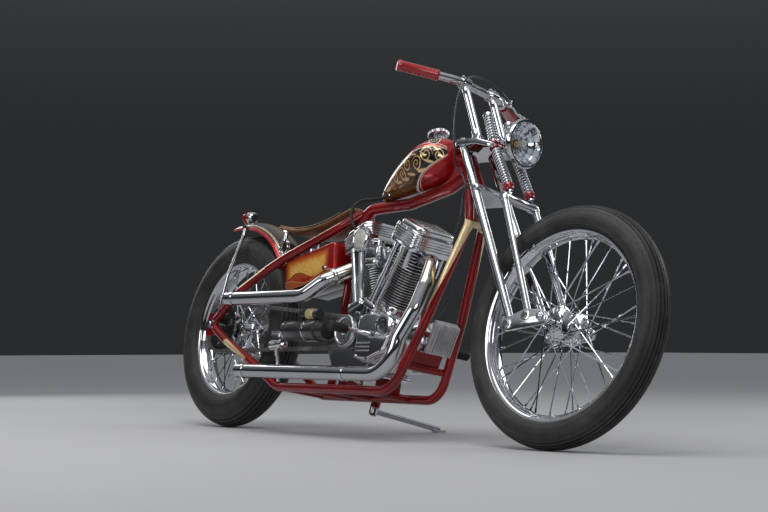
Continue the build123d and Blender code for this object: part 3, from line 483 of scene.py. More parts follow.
def rod(start, end, radius, sides=8, thin_end=None):
    """A straight bar; thin_end is its radius at the far end."""
    deselect()
    length = (end - start).length
    bpy.ops.mesh.primitive_cone_add(
        vertices=sides, radius1=radius, radius2=radius if thin_end is None else thin_end, depth=length,
        location=(start + end) / 2, rotation=(end - start).to_track_quat("Z", "Y").to_euler(),
    )
    bpy.ops.object.transform_apply(location=True, rotation=True, scale=True)
    return bpy.context.object


def about(centre, axis, angle):
    """A turn about a line."""
    return Matrix.Translation(centre) @ Matrix.Rotation(angle, 4, axis) @ Matrix.Translation(-centre)


def copied(piece, matrix):
    """A copy with its own mesh, moved."""
    copy = piece.copy()
    copy.data = piece.data.copy()
    bpy.context.scene.collection.objects.link(copy)
    copy.data.transform(matrix)
    return copy


def ringed(piece, count, centre, axis=LEFT, name=None):
    """The piece repeated evenly round an axis, as one."""
    copies = [copied(piece, about(centre, axis, 2 * pi * turn / count)) for turn in range(1, count)]
    return joined([piece] + copies, name or piece.name)


def lacing(name, centre, flange, flange_half, rim_radius, rim_half):
    """Forty spokes with their elbows and nipples."""
    well = rim_radius - 0.0302
    parts = []
    for ring, (side, face, lead) in enumerate(((1, 1, 52), (1, -1, -52), (-1, 1, -52), (-1, -1, 52))):
        foot_turn = radians(ring * 9)
        tip_turn = foot_turn + radians(lead)
        foot_y = side * flange_half + face * 0.0052
        foot = centre + Vector(((flange - 0.006) * cos(foot_turn), foot_y,
                                (flange - 0.006) * sin(foot_turn)))
        tip = centre + Vector((well * cos(tip_turn), side * rim_half * 0.22, well * sin(tip_turn)))
        along = (tip - foot).normalized()
        spoke = rod(foot, tip, SPOKE, 6)
        elbow = rod(foot, foot - LEFT * (face * 0.009), SPOKE * 1.1, 6)
        nipple = rod(tip - along * 0.014, tip + along * 0.001, NIPPLE * 0.8, 6, NIPPLE)
        head = rod(foot - LEFT * (face * 0.009), foot - LEFT * (face * 0.0108), SPOKE * 2.0, 8, SPOKE)
        parts.append(ringed(joined([spoke, elbow, nipple, head], name), 10, centre))
    return joined(parts, name)


def hub(name, centre, flange, flange_half, waist, collar, half_length, holes):
    """A turned barrel between two drilled flanges, with a bearing collar each end."""
    side = [
        (0.0105, half_length), (collar - 0.002, half_length), (collar, half_length - 0.002),
        (collar, flange_half + 0.01), (collar + 0.006, flange_half + 0.006),
        (flange - 0.002, flange_half + 0.0035), (flange, flange_half + 0.002),
        (flange, flange_half - 0.002), (flange - 0.002, flange_half - 0.0035),
        (waist + 0.01, flange_half - 0.006), (waist + 0.002, flange_half - 0.014),
        (waist, flange_half - 0.022),
    ]
    profile = side + [(r, -y) for r, y in reversed(side)]
    barrel = spun(name, profile, centre, steps=64)
    rim_ring = spun("hub_ring", [
        (flange * 0.62, 0.0), (flange * 0.62 + 0.003, 0.0022), (flange * 0.62 + 0.006, 0.0)
    ], centre + LEFT * (flange_half + 0.0045), steps=48)
    far_ring = copied(rim_ring, Matrix.Translation((0, -2 * flange_half - 0.009, 0)))
    bolt = rod(
        centre + Vector((flange * 0.5, half_length - 0.02, 0)),
        centre + Vector((flange * 0.5, half_length - 0.004, 0)), 0.0045, 6,
    )
    far_bolt = copied(bolt, Matrix.Translation((0, -2 * half_length + 0.024, 0)))
    bolts = ringed(joined([bolt, far_bolt], "hub_bolts"), holes, centre)
    return joined([barrel, rim_ring, far_ring, bolts], name)


front_hub_piece = joined([
    hub("front_hub_dressed", FRONT_AXLE, 0.05, 0.034, 0.024, 0.026, 0.052, 8),
    lacing("front_lacing", FRONT_AXLE, 0.05, 0.034, RIM_FRONT, 0.031),
], "front_hub_dressed")
fitted(front_hub_piece, chrome, "front_wheel", "front_hub_and_spokes", slot="chrome")
rear_hub_piece = joined([
    hub("rear_hub_dressed", REAR_AXLE, 0.056, 0.034, 0.03, 0.034, 0.057, 6),
    lacing("rear_lacing", REAR_AXLE, 0.056, 0.034, RIM_REAR, 0.039),
], "rear_hub_dressed")
fitted(rear_hub_piece, chrome, "rear_wheel", "rear_hub_and_spokes", slot="chrome")


# ============================================================ FRAME
# A rigid frame of welded steel tube in candy red: red lacquer over bright flake, under
# clear coat, with gold leaf laid along the downtubes, the seat stays and the chain stays.
class Paintwork(Finish):
    """Enamel work in layers: each layer is a mask and a colour laid over what is below."""

    def __init__(self, name, base):
        super().__init__(name, Coat_Weight=0.6, Coat_Roughness=0.03, Specular_IOR_Level=0.3)
        self.laid = base
        self.metal = 0.0

    def lay(self, mask, shade, metallic=0.0):
        self.laid = self.mix(mask, self.laid, shade)
        self.metal = self.metal * (1 - mask) + mask * metallic
        return self

    def finish(self, roughness):
        self.feed("Base_Color", self.laid)
        self.feed("Metallic", self.metal)
        self.feed("Roughness", roughness)
        return self.material

    def scroll(self, across, up, at, size, turns, hand=1.0, thickness=0.12):
        """A spiral scroll that thins towards its eye, as a mask."""
        along = (across - at[0]) * (hand / size)
        rise = (up - at[1]) * (1.0 / size)
        reach = (along * along + rise * rise).root()
        angle = rise.math("ARCTAN2", rise, along) * (1 / (2 * pi))
        coil = reach * turns - angle + 10.0
        line = abs(coil.whole_turns(1.0) - 0.5)
        width = (reach * 0.9).less(1.0) * thickness + 0.06
        return (1 - (line - width).rise(-0.02, 0.05)) * (1 - reach.rise(0.98, 1.02))

    def leaf(self, across, up, at, tilt, length, width):
        """A pointed leaf with a curved spine, as a mask."""
        along = ((across - at[0]) * cos(tilt) + (up - at[1]) * sin(tilt)) * (1.0 / length)
        off = ((up - at[1]) * cos(tilt) - (across - at[0]) * sin(tilt)) * (1.0 / width)
        bowed = off - along * (1 - along) * 1.6
        swell = (along.more(0.0) * (1 - along).more(0.0)).root() * 2.0
        on_spine = along.rise(0.0, 0.02) * (1 - along.rise(0.98, 1.0))
        return (1 - (abs(bowed) - swell).rise(-0.12, 0.04)) * on_spine


RED_DEEP = (0.19, 0.002, 0.004)
RED_BRIGHT = (0.46, 0.006, 0.009)
GOLD = (0.72, 0.42, 0.13)
GOLD_PALE = (0.86, 0.66, 0.36)
BLACK_PAINT = (0.01, 0.009, 0.01)
IVORY = (0.8, 0.76, 0.68)


def frame_paint():
    paint = Paintwork("frame_paint", RED_BRIGHT)
    place = paint.place(PARKED)
    x, y, z = paint.parts(place)
    flake = paint.noise(place, 1400, 1)
    depth = paint.noise(place, 9, 3)
    paint.laid = paint.mix(depth.rise(0.3, 0.7), (0.3, 0.0025, 0.004), (0.16, 0.001, 0.002))
    paint.metal = 0.2 + flake * 0.3
    leafing = paint.noise(place, 140, 3)
    gold = paint.mix(leafing.rise(0.3, 0.7), (0.8, 0.56, 0.26), (0.88, 0.74, 0.48))

    def beside(start, end):
        """How far along a run a point lies, as a share, and how far to its left."""
        run_x, run_z = end[0] - start[0], end[1] - start[1]
        length = sqrt(run_x * run_x + run_z * run_z)
        share = ((x - start[0]) * run_x + (z - start[1]) * run_z) * (1 / length ** 2)
        off = ((z - start[1]) * run_x - (x - start[0]) * run_z) * (1 / length)
        return share, off

    share, off = beside((1.222, 0.648), (1.14, 0.378))
    outward = (abs(y) - 0.026 - share * 0.037) * 0.852 - off * 0.524
    on_tube = share.rise(-0.02, 0.0) * (1 - share.rise(0.96, 1.0))
    down = (outward - (share * 0.026 - 0.013)).rise(0.0, 0.001)
    paint.lay(down * on_tube * (x - 1.1).rise(0.0, 0.001), gold, 0.3)
    neck_cup = share.rise(-0.04, -0.02) * (1 - share.rise(0.06, 0.07))
    paint.lay(neck_cup * (x - 1.1).rise(0.0, 0.001) * (1 - abs(off).rise(0.016, 0.018)), gold, 0.3)
    for start, end, low, high in (((0.14, 0.457), (0.268, 0.524), 0.0, 0.0105),
                                  ((0.268, 0.524), (0.365, 0.562), 0.006, 0.01),
                                  ((0.365, 0.562), (0.6, 0.668), 0.006, 0.01)):
        share, off = beside(start, end)
        on_run = share.rise(-0.01, 0.0) * (1 - share.rise(1.0, 1.01))
        stripe = (off - low).rise(0.0, 0.0008) * (1 - (off - high).rise(0.0, 0.0008)) * on_run
        paint.lay(stripe * abs(y).rise(0.04, 0.046), gold, 0.3)
    share, off = beside((0.245, 0.218), (0.097, 0.283))
    width = share * 0.0095 + 0.0035
    on_stay = share.rise(0.05, 0.08) * (1 - (share + abs(off) * 6.0).rise(0.92, 0.95))
    stay_leaf = (width - abs(off - 0.001)).rise(0.0, 0.001)
    paint.lay(stay_leaf * on_stay * abs(y).rise(0.09, 0.094), gold, 0.5)
    return paint.finish(0.2 + depth * 0.1)


finish_nodes(frame_paint(), *[name for name in frame["nodes"] if name.startswith("frame_")])


# ============================================================ ENGINE
# An air-cooled V-twin: cast cases on the centre plane, two finned barrels and heads
# tilted either way, polished rocker boxes, and covers held by a row of cap screws.
CRANK = Vector((0.851, 0, 0.305))
CYLINDER_TILT = radians(22.5)
DECK = 0.118
BARREL_LENGTH = 0.118
HEAD_LENGTH = 0.066
CASE_HALF = 0.07


def applied(piece, kind, **settings):
    """Gives a piece a modifier and applies it."""
    only(piece)
    modifier = piece.modifiers.new(kind.lower(), kind)
    for name, value in settings.items():
        setattr(modifier, name, value)
    bpy.ops.object.modifier_apply(modifier=modifier.name)
    return piece


def block(place, size, edge=0.003, segments=2, turn=Matrix()):
    """A block with rounded edges, at a place, turned."""
    deselect()
    bpy.ops.mesh.primitive_cube_add(size=1, location=(0, 0, 0))
    piece = bpy.context.object
    piece.data.transform(Matrix.Diagonal((*size, 1)))
    round_edges(piece, edge, segments)
    piece.data.transform(Matrix.Translation(place) @ turn)
    return piece


def round_edges(piece, width, segments=2, angle=30):
    """Bevels the sharp edges of a piece and applies it."""
    return applied(
        piece, "BEVEL", width=width, segments=segments, limit_method="ANGLE", angle_limit=radians(angle)
    )


def slab(outline, thickness, name="slab", edge=0.0, segments=2):
    """A flat outline of (x, y) points made solid, its underside at z 0."""
    deselect()
    bpy.ops.mesh.primitive_circle_add(vertices=len(outline), fill_type="NGON")
    piece = bpy.context.object
    piece.name = name
    for vertex, (x, y) in zip(piece.data.vertices, outline):
        vertex.co = (x, y, 0)
    bpy.ops.object.mode_set(mode="EDIT")
    bpy.ops.mesh.select_all(action="SELECT")
    bpy.ops.mesh.extrude_region_move(TRANSFORM_OT_translate={"value": (0, 0, thickness)})
    bpy.ops.mesh.select_all(action="SELECT")
    bpy.ops.mesh.normals_make_consistent(inside=False)
    bpy.ops.object.mode_set(mode="OBJECT")
    if edge:
        round_edges(piece, edge, segments, 50)
    return piece


def rounded_outline(width, depth, corner, middle=(0, 0), steps=5):
    """The points of a rectangle with round corners."""
    points = []
    for turn, (side_x, side_y) in enumerate(((1, 1), (-1, 1), (-1, -1), (1, -1))):
        for step in range(steps + 1):
            angle = pi / 2 * (turn + step / steps)
            points.append((
                middle[0] + side_x * (width / 2 - corner) + corner * cos(angle),
                middle[1] + side_y * (depth / 2 - corner) + corner * sin(angle),
            ))
    return points


def bolt_head(place, direction, radius, height, domed=True):
    """A cap screw: a round head with a hexagon socket, or a domed nut."""
    return rod(place, place + direction * height, radius, 12, radius * (0.75 if domed else 1.0))


def cylinder_frame(tilt, distance):
    """Local axes of a cylinder: X forward, Y left, Z along its bore."""
    return Matrix.Translation(CRANK) @ Matrix.Rotation(tilt, 4, "Y") @ Matrix.Translation((0, 0, distance))


def raised(piece, matrix):
    piece.data.transform(matrix)
    return piece


def fin_finish_with_painted_shade(name, stand, inner_x, inner_y, corner):
    """Fins polished at their edges, with the valleys between them painted near black as painted shade."""
    metal = Finish(name)
    place = metal.place(PARKED @ stand)
    x, y, z = metal.parts(place)
    beyond_x = (abs(x) - inner_x).more(0.0)
    beyond_y = (abs(y) - inner_y).more(0.0)
    edge = (beyond_x * beyond_x + beyond_y * beyond_y).root().rise(corner - 0.0065, corner - 0.005)
    grime = metal.noise(place, 40, 5, 0.6)
    bright = metal.mix(grime.rise(0.3, 0.75), (0.84, 0.85, 0.87), (0.66, 0.66, 0.68))
    # Painted shade: the valleys between the fins are painted near black and only the fin edges are bright.
    metal.tint(edge, (0.018, 0.018, 0.019), bright)
    metal.feed("Metallic", edge * 0.9)
    metal.feed("Roughness", 0.22 + grime * 0.2)
    return metal.material


FIN_COUNT = 14
for end, tilt, inner in (("front", CYLINDER_TILT, -1), ("rear", -CYLINDER_TILT, 1)):
    stand = cylinder_frame(tilt, DECK)
    core = rod(LEFT * 0, UP * BARREL_LENGTH, 0.048, 48)
    fins = [core]
    for count in range(FIN_COUNT):
        rise = 0.005 + count * (BARREL_LENGTH - 0.01) / (FIN_COUNT - 1)
        outline = rounded_outline(0.124, 0.128, 0.04, steps=6)
        limit = 0.0555 + rise * 0.383
        clipped = [(max(x, -limit) if inner == -1 else min(x, limit), y) for x, y in outline]
        fin = slab(clipped, 0.0022, "fin")
        fin.data.transform(Matrix.Translation((0, 0, rise - 0.0011)))
        fins.append(fin)
    for corner_x, corner_y in ((1, 1), (1, -1), (-1, 1), (-1, -1)):
        foot = Vector((corner_x * 0.0385, corner_y * 0.0385, 0.001))
        fins.append(rod(foot, foot + UP * (BARREL_LENGTH - 0.002), 0.006, 12))
    barrel = raised(joined(fins, f"barrel_{end}"), stand)
    barrel_metal = fin_finish_with_painted_shade(f"barrel_metal_{end}", stand, 0.022, 0.024, 0.04)
    fitted(barrel, barrel_metal, "frame", f"cylinder_{end}", slot="fin_aluminium")

    head_parts = []
    dome = slab(rounded_outline(0.104, 0.112, 0.03), HEAD_LENGTH, "head", 0.002)
    head_parts.append(dome)
    for count in range(6):
        fin = slab(rounded_outline(0.134 - 0.002 * count, 0.128, 0.034), 0.003, "fin", 0.0008, 1)
        fin.data.transform(Matrix.Translation((0, 0, 0.003 + count * 0.01)))
        head_parts.append(fin)
    for lateral in (-0.036, 0.036):
        head_parts += [
            rod(Vector((lateral, -0.06, 0.004)), Vector((lateral, -0.06, 0.064)), 0.0085, 16),
            rod(Vector((lateral, 0.06, 0.004)), Vector((lateral, 0.06, 0.064)), 0.0085, 16),
        ]
    head_stand = cylinder_frame(tilt, DECK + BARREL_LENGTH)
    head_piece = raised(joined(head_parts, f"head_{end}"), head_stand)
    head_metal = fin_finish_with_painted_shade(f"head_metal_{end}", head_stand, 0.03, 0.03, 0.034)
    fitted(head_piece, head_metal, "frame", f"cylinder_head_{end}", slot="fin_aluminium")

    lid = []
    lid.append(slab(rounded_outline(0.146, 0.164, 0.026), 0.018, "lid_base", 0.002))
    middle = slab(rounded_outline(0.136, 0.154, 0.024), 0.036, "lid_middle", 0.001)
    lid.append(raised(middle, Matrix.Translation((0, 0, 0.017))))
    for ledge in range(4):
        ledge_slab = slab(rounded_outline(0.1455, 0.1635, 0.026), 0.0066, "lid_ledge", 0.0016)
        lid.append(raised(ledge_slab, Matrix.Translation((0, 0, 0.02 + ledge * 0.0086))))
    crown_piece = slab(rounded_outline(0.128, 0.146, 0.03), 0.0245, "lid_crown", 0.01, 4)
    lid.append(raised(crown_piece, Matrix.Translation((0, 0, 0.0525))))
    for groove in range(-3, 4):
        rib = block(Vector((0, groove * 0.0175, 0.0755)), (0.094, 0.0062, 0.0048), 0.0022, 3)
        lid.append(rib)
    for corner_x, corner_y in ((1, 1), (1, -1), (-1, 1), (-1, -1), (0, 1), (0, -1)):
        at = Vector((corner_x * 0.06, corner_y * 0.0695, 0.052))
        if corner_x == 0:
            at = Vector((0, corner_y * 0.0765, 0.052))
        lid.append(bolt_head(at, UP, 0.0058, 0.0075))
    lid_stand = cylinder_frame(tilt, DECK + BARREL_LENGTH + HEAD_LENGTH)
    box = raised(joined(lid, f"rocker_cover_{end}"), lid_stand)
    fitted(box, polished, "frame", f"rocker_box_{end}", slot="polished_aluminium")

# The case: crank and gearbox halves with a seam, decks, tappet blocks and cap screws.
def loop_outline(circles, steps=10):
    """The outline round a chain of circles (x, z, radius), clockwise, as straight hulls."""
    points = []
    for x, z, radius in circles:
        points += [(x + radius * cos(2 * pi * step / (steps * 4)),
                    z + radius * sin(2 * pi * step / (steps * 4))) for step in range(steps * 4)]
    points = sorted(set(points))
    lower, upper = [], []
    for chain_side, sequence in ((lower, points), (upper, points[::-1])):
        for point in sequence:
            while len(chain_side) > 1 and (
                (chain_side[-1][0] - chain_side[-2][0]) * (point[1] - chain_side[-2][1])
                - (chain_side[-1][1] - chain_side[-2][1]) * (point[0] - chain_side[-2][0])
            ) <= 0:
                chain_side.pop()
            chain_side.append(point)
    return lower[:-1] + upper[:-1]


def plate(outline, y_low, y_high, name="plate", edge=0.002, segments=2):
    """A plate whose outline is in X and Z."""
    piece = slab(outline, y_high - y_low, name, edge, segments)
    piece.data.transform(Matrix(((1, 0, 0, 0), (0, 0, 1, y_low), (0, 1, 0, 0), (0, 0, 0, 1))))
    only(piece)
    bpy.ops.object.mode_set(mode="EDIT")
    bpy.ops.mesh.select_all(action="SELECT")
    bpy.ops.mesh.normals_make_consistent(inside=False)
    bpy.ops.object.mode_set(mode="OBJECT")
    return piece


case_parts = []
crank_round = loop_outline([(CRANK.x + 0.014, CRANK.z, 0.1035), (CRANK.x + 0.02, CRANK.z - 0.06, 0.067)])
gear_round = loop_outline([(CRANK.x - 0.138, CRANK.z - 0.012, 0.0795),
                           (CRANK.x - 0.13, CRANK.z - 0.07, 0.055),
                           (CRANK.x - 0.03, CRANK.z - 0.06, 0.065)])
case_parts += [
    plate(crank_round, -0.068, 0.068, "crank_half", 0.012, 4),
    plate(gear_round, -0.069, 0.069, "gear_half", 0.01, 4),
]
case_parts.append(plate(loop_outline([(CRANK.x + 0.014, CRANK.z, 0.104),
                                      (CRANK.x + 0.02, CRANK.z - 0.06, 0.068)]), -0.004, 0.004,
                        "case_seam", 0.001, 1))
for turn in range(7):
    angle = radians(-20 + turn * 28)
    at = Vector((CRANK.x + 0.014 + 0.088 * cos(angle), -0.067, CRANK.z + 0.088 * sin(angle)))
    case_parts.append(bolt_head(at, RIGHT, 0.0055, 0.003))
for sign in (1, -1):
    deck = slab(rounded_outline(0.112, 0.122, 0.03, (sign * 0.008, 0)), DECK - 0.04 - 0.0003,
                "deck", 0.004, 3)
    case_parts.append(raised(deck, cylinder_frame(sign * CYLINDER_TILT, 0.04)))
    tappet = slab(rounded_outline(0.072, 0.043, 0.01, (sign * 0.002, -0.089)), 0.02, "tappet", 0.003, 2)
    case_parts.append(raised(tappet, cylinder_frame(sign * CYLINDER_TILT, 0.086)))
    for lateral in (-0.03, 0.034):
        for y in (-0.104, -0.074):
            screw = bolt_head(Vector((lateral, y, 0.1055)), UP, 0.004, 0.004, False)
            case_parts.append(raised(screw, cylinder_frame(sign * CYLINDER_TILT, 0)))
for x in (0.7, 0.9):
    case_parts.append(block(Vector((x, 0, 0.1835)), (0.05, 0.13, 0.012), 0.003))
case_piece = joined(case_parts, "crankcase_dressed")
fitted(case_piece, polished, "frame", "crankcase", slot="polished_aluminium")

# Cam cover on the right: a smooth polished shell with a round points cover and screws.
CAM_OUTLINE = [(-0.004, 0.058), (0.06, 0.072), (0.2, 0.046), (0.15, -0.062), (0.07, -0.09),
               (-0.004, -0.084)]


def softened(corners, radius, steps=6):
    """A polygon's outline with its corners rounded."""
    points = []
    for before, corner, after in zip(corners[-1:] + corners[:-1], corners, corners[1:] + corners[:1]):
        back = (Vector(before) - Vector(corner)).normalized()
        on = (Vector(after) - Vector(corner)).normalized()
        half = back.angle(on) / 2
        reach = min(radius / tan(half), (Vector(before) - Vector(corner)).length * 0.49,
                    (Vector(after) - Vector(corner)).length * 0.49)
        bow = reach * tan(half)
        middle = Vector(corner) + (back + on).normalized() * (bow / sin(half))
        first = Vector(corner) + back * reach - middle
        last = Vector(corner) + on * reach - middle
        for step in range(steps + 1):
            mixed = first.lerp(last, step / steps)
            points.append(tuple(middle + mixed.normalized() * bow))
    return points


def near_crank(outline, scale=1.0, shift=(0, 0)):
    return [(CRANK.x + x * scale + shift[0], CRANK.z + z * scale + shift[1]) for x, z in outline]


cam_parts = [
    plate(softened(near_crank(CAM_OUTLINE), 0.024), -CASE_HALF - 0.016, -CASE_HALF, "cam_base", 0.002),
    plate(softened(near_crank(CAM_OUTLINE, 0.94, (0.004, 0)), 0.026), -CASE_HALF - 0.0435,
          -CASE_HALF - 0.015, "cam_dome", 0.01, 4),
]
points_centre = Vector((CRANK.x + 0.14, -CASE_HALF - 0.043, CRANK.z + 0.02))
cam_parts.append(spun("points_cover", [(0.0, 0.0), (0.0375, 0.0), (0.038, 0.003), (0.036, 0.0065),
                                       (0.03, 0.0088), (0.02, 0.0085), (0.018, 0.0076), (0.006, 0.0076),
                                       (0.0, 0.0085)], points_centre, axis=RIGHT, steps=40))
for angle in (40, 160, 280):
    at = points_centre + Vector((0.0325 * cos(radians(angle)), -0.005, 0.0325 * sin(radians(angle))))
    cam_parts.append(bolt_head(at, RIGHT, 0.0034, 0.0032, False))
for x, z in ((0.01, 0.05), (0.062, 0.061), (0.125, 0.05), (0.187, 0.04), (0.17, -0.012), (0.142, -0.052),
             (0.075, -0.078), (0.01, -0.072)):
    cam_parts.append(bolt_head(Vector((CRANK.x + x, -CASE_HALF - 0.041, CRANK.z + z)), RIGHT,
                               0.0052, 0.0062, False))
for ribs in range(3):
    cam_parts.append(block(Vector((CRANK.x + 0.045, -CASE_HALF - 0.043, CRANK.z - 0.03 - ribs * 0.012)),
                           (0.07, 0.004, 0.005), 0.0018))
cam_piece = joined(cam_parts, "cam_cover_dressed")
fitted(cam_piece, polished, "frame", "cam_cover", slot="polished_aluminium")

# Primary cover on the left: one long polished shell over the clutch and the crank's end.
PRIMARY_OUTLINE = [(0.14, 0.08), (0.14, -0.09), (-0.24, -0.1), (-0.24, 0.08)]
primary_parts = [
    plate(softened(near_crank(PRIMARY_OUTLINE), 0.07, 10), CASE_HALF, CASE_HALF + 0.02,
          "primary_base", 0.003),
    plate(softened(near_crank(PRIMARY_OUTLINE, 0.955, (-0.003, 0)), 0.066, 10), CASE_HALF + 0.019,
          CASE_HALF + 0.0615, "primary_dome", 0.016, 5),
]
for x, z, size in ((0.07, -0.008, 0.034), (-0.165, -0.01, 0.04)):
    primary_parts.append(spun("primary_cap", [(0.0, 0.0), (size, 0.0), (size, 0.0012),
        (size - 0.002, 0.0004), (0.0, 0.0004)], Vector((CRANK.x + x, CASE_HALF + 0.061, CRANK.z + z)),
        steps=36))
for x, z in ((0.12, 0.052), (0.126, -0.06), (0.04, -0.084), (-0.05, -0.087), (-0.14, -0.089),
             (-0.212, -0.07), (-0.222, 0.045), (-0.13, 0.068), (-0.03, 0.068), (0.06, 0.068)):
    primary_parts.append(bolt_head(Vector((CRANK.x + x, CASE_HALF + 0.018, CRANK.z + z)), LEFT,
                                   0.0055, 0.007, False))
primary_piece = joined(primary_parts, "primary_cover_dressed")
fitted(primary_piece, polished, "frame", "primary_cover", slot="polished_aluminium")

# Pushrod tubes: chromed telescopic covers with a collar and a clip at the foot.
tube_parts = []
for tilt in (CYLINDER_TILT, -CYLINDER_TILT):
    base = cylinder_frame(tilt, 0.1)
    for lateral in (-0.02, 0.02):
        foot = base @ Vector((lateral * 0.7, -0.092, 0.006))
        top = base @ Vector((lateral, -0.076, DECK + BARREL_LENGTH + HEAD_LENGTH - 0.106 + 0.0057))
        along = (top - foot).normalized()
        length = (top - foot).length
        for start, end, radius in ((0.0, length, 0.0088), (0.0, 0.007, 0.0135),
                                   (0.007, length * 0.4, 0.0112),
                                   (length * 0.4, length * 0.4 + 0.006, 0.0128),
                                   (length - 0.012, length, 0.0115),
                                   (length - 0.03, length - 0.026, 0.0105)):
            tube_parts.append(rod(foot + along * start, foot + along * end, radius, 20))
tubes_piece = joined(tube_parts, "pushrod_tubes_dressed")
fitted(tubes_piece, chrome, "frame", "pushrod_tubes", slot="chrome")

# Carburettor between the heads, with its manifold, and a dished cap on the intake.
carb_parts = [
    rod(Vector((CRANK.x, 0, 0.56)), Vector((CRANK.x, -0.068, 0.56)), 0.027, 32),
    block(Vector((CRANK.x + 0.014, -0.09, 0.556)), (0.06, 0.05, 0.048), 0.008, 3),
    block(Vector((CRANK.x + 0.014, -0.09, 0.527)), (0.05, 0.046, 0.024), 0.006, 3),
    rod(Vector((CRANK.x + 0.014, -0.09, 0.575)), Vector((CRANK.x + 0.014, -0.09, 0.597)), 0.022, 28),
    rod(Vector((CRANK.x - 0.05, -0.02, 0.568)), Vector((CRANK.x + 0.05, -0.02, 0.568)), 0.019, 24),
]
for x, y in ((-0.012, -0.112), (0.04, -0.112), (-0.012, -0.068), (0.04, -0.068)):
    carb_parts.append(bolt_head(Vector((CRANK.x + x, y, 0.577)), UP, 0.0035, 0.004, False))
carb_piece = joined(carb_parts, "carburettor_dressed")
fitted(carb_piece, polished, "frame", "carburettor", slot="polished_aluminium")

AIR_COVER = Vector((CRANK.x + 0.028, -0.15, 0.586))
air_piece = joined([
    spun("intake_cap", [(0.0, 0.0), (0.036, 0.0), (0.0398, 0.003), (0.0398, 0.0145), (0.037, 0.02),
                        (0.033, 0.0218), (0.029, 0.0205), (0.026, 0.019),
                        (0.0, 0.0175)], AIR_COVER, axis=RIGHT, steps=48),
    rod(AIR_COVER + LEFT * 0.001, AIR_COVER + LEFT * 0.0335, 0.0238, 32),
], "air_cover_dressed")
fitted(air_piece, chrome, "frame", "air_cover", slot="polished_aluminium")


def spun_face_finish():
    """Aluminium turned on a lathe and left dull, in fine rings."""
    metal = Finish("dull_turned_face", Metallic=0.5)
    place = metal.place(PARKED)
    x, y, z = metal.parts(place)
    right = x - AIR_COVER.x
    up = z - AIR_COVER.z
    rings = ((right * right + up * up).root() * 4200.0).sine()
    stain = metal.noise(place, 70, 5, 0.6)
    metal.tint(stain.rise(0.35, 0.7), (0.62, 0.61, 0.57), (0.42, 0.42, 0.4))
    metal.feed("Roughness", 0.42 + stain * 0.2)
    metal.bump(rings, 0.08, 0.0003)
    return metal.material


air_face = spun("air_cover_face", [(0.0, 0.0165), (0.029, 0.0165), (0.03, 0.0205), (0.0285, 0.0214),
                                   (0.0, 0.0217)], AIR_COVER, axis=RIGHT, steps=56)
fitted(air_face, spun_face_finish(), "frame", slot="polished_aluminium")


# ============================================================ FUEL TANK
# A small teardrop tank over the backbone: candy red over flake, with a dark panel on each
# flank, ivory pinstripes and gold scrolls, all laid under the clear coat.
TANK_TAIL = Vector((0.728, 0, 0.757))
TANK_PITCH = radians(20)
TANK_ALONG = Vector((cos(TANK_PITCH), 0, sin(TANK_PITCH)))
TANK_RISE = Vector((-sin(TANK_PITCH), 0, cos(TANK_PITCH)))
TANK_SECTIONS = [(0.0, 0.0, 0.008, 0.009), (0.04, 0.0, 0.03, 0.023), (0.09, 0.0, 0.052, 0.036),
                 (0.145, -0.001, 0.072, 0.049), (0.2, -0.002, 0.088, 0.06), (0.25, -0.003, 0.098, 0.069),
                 (0.29, -0.004, 0.102, 0.074), (0.325, -0.005, 0.096, 0.071), (0.348, -0.006, 0.081, 0.061),
                 (0.365, -0.0072, 0.06, 0.047), (0.374, -0.008, 0.042, 0.035)]


def skinned(name, rings, closed_ends=True):
    """A skin over rings of points, each ring with as many points."""
    deselect()
    count = len(rings[0])
    bpy.ops.mesh.primitive_grid_add(x_subdivisions=count, y_subdivisions=len(rings) - 1, size=1)
    piece = bpy.context.object
    piece.name = name
    for number, vertex in enumerate(piece.data.vertices):
        row, column = divmod(number, count + 1)
        vertex.co = rings[row][column % count]
    bpy.ops.object.mode_set(mode="EDIT")
    bpy.ops.mesh.select_all(action="SELECT")
    bpy.ops.mesh.remove_doubles(threshold=0.00001)
    if closed_ends:
        bpy.ops.mesh.select_all(action="DESELECT")
        bpy.ops.mesh.select_mode(type="EDGE")
        bpy.ops.mesh.select_non_manifold()
        bpy.ops.mesh.fill_holes(sides=0)
    bpy.ops.mesh.select_all(action="SELECT")
    bpy.ops.mesh.normals_make_consistent(inside=False)
    bpy.ops.mesh.select_mode(type="VERT")
    bpy.ops.object.mode_set(mode="OBJECT")
    return piece


def tank_point(reach, rise, half_width, half_height, angle):
    """A point of the tank's skin: each section is an ellipse."""
    across = half_width * cos(angle)
    up = half_height * sin(angle)
    return TANK_TAIL + TANK_ALONG * reach + TANK_RISE * (rise + up) + LEFT * across


rings = [[tank_point(*section, 2 * pi * step / 48) for step in range(48)] for section in TANK_SECTIONS]
tank = skinned("fuel_tank_dressed", rings)
applied(tank, "SUBSURF", levels=2)


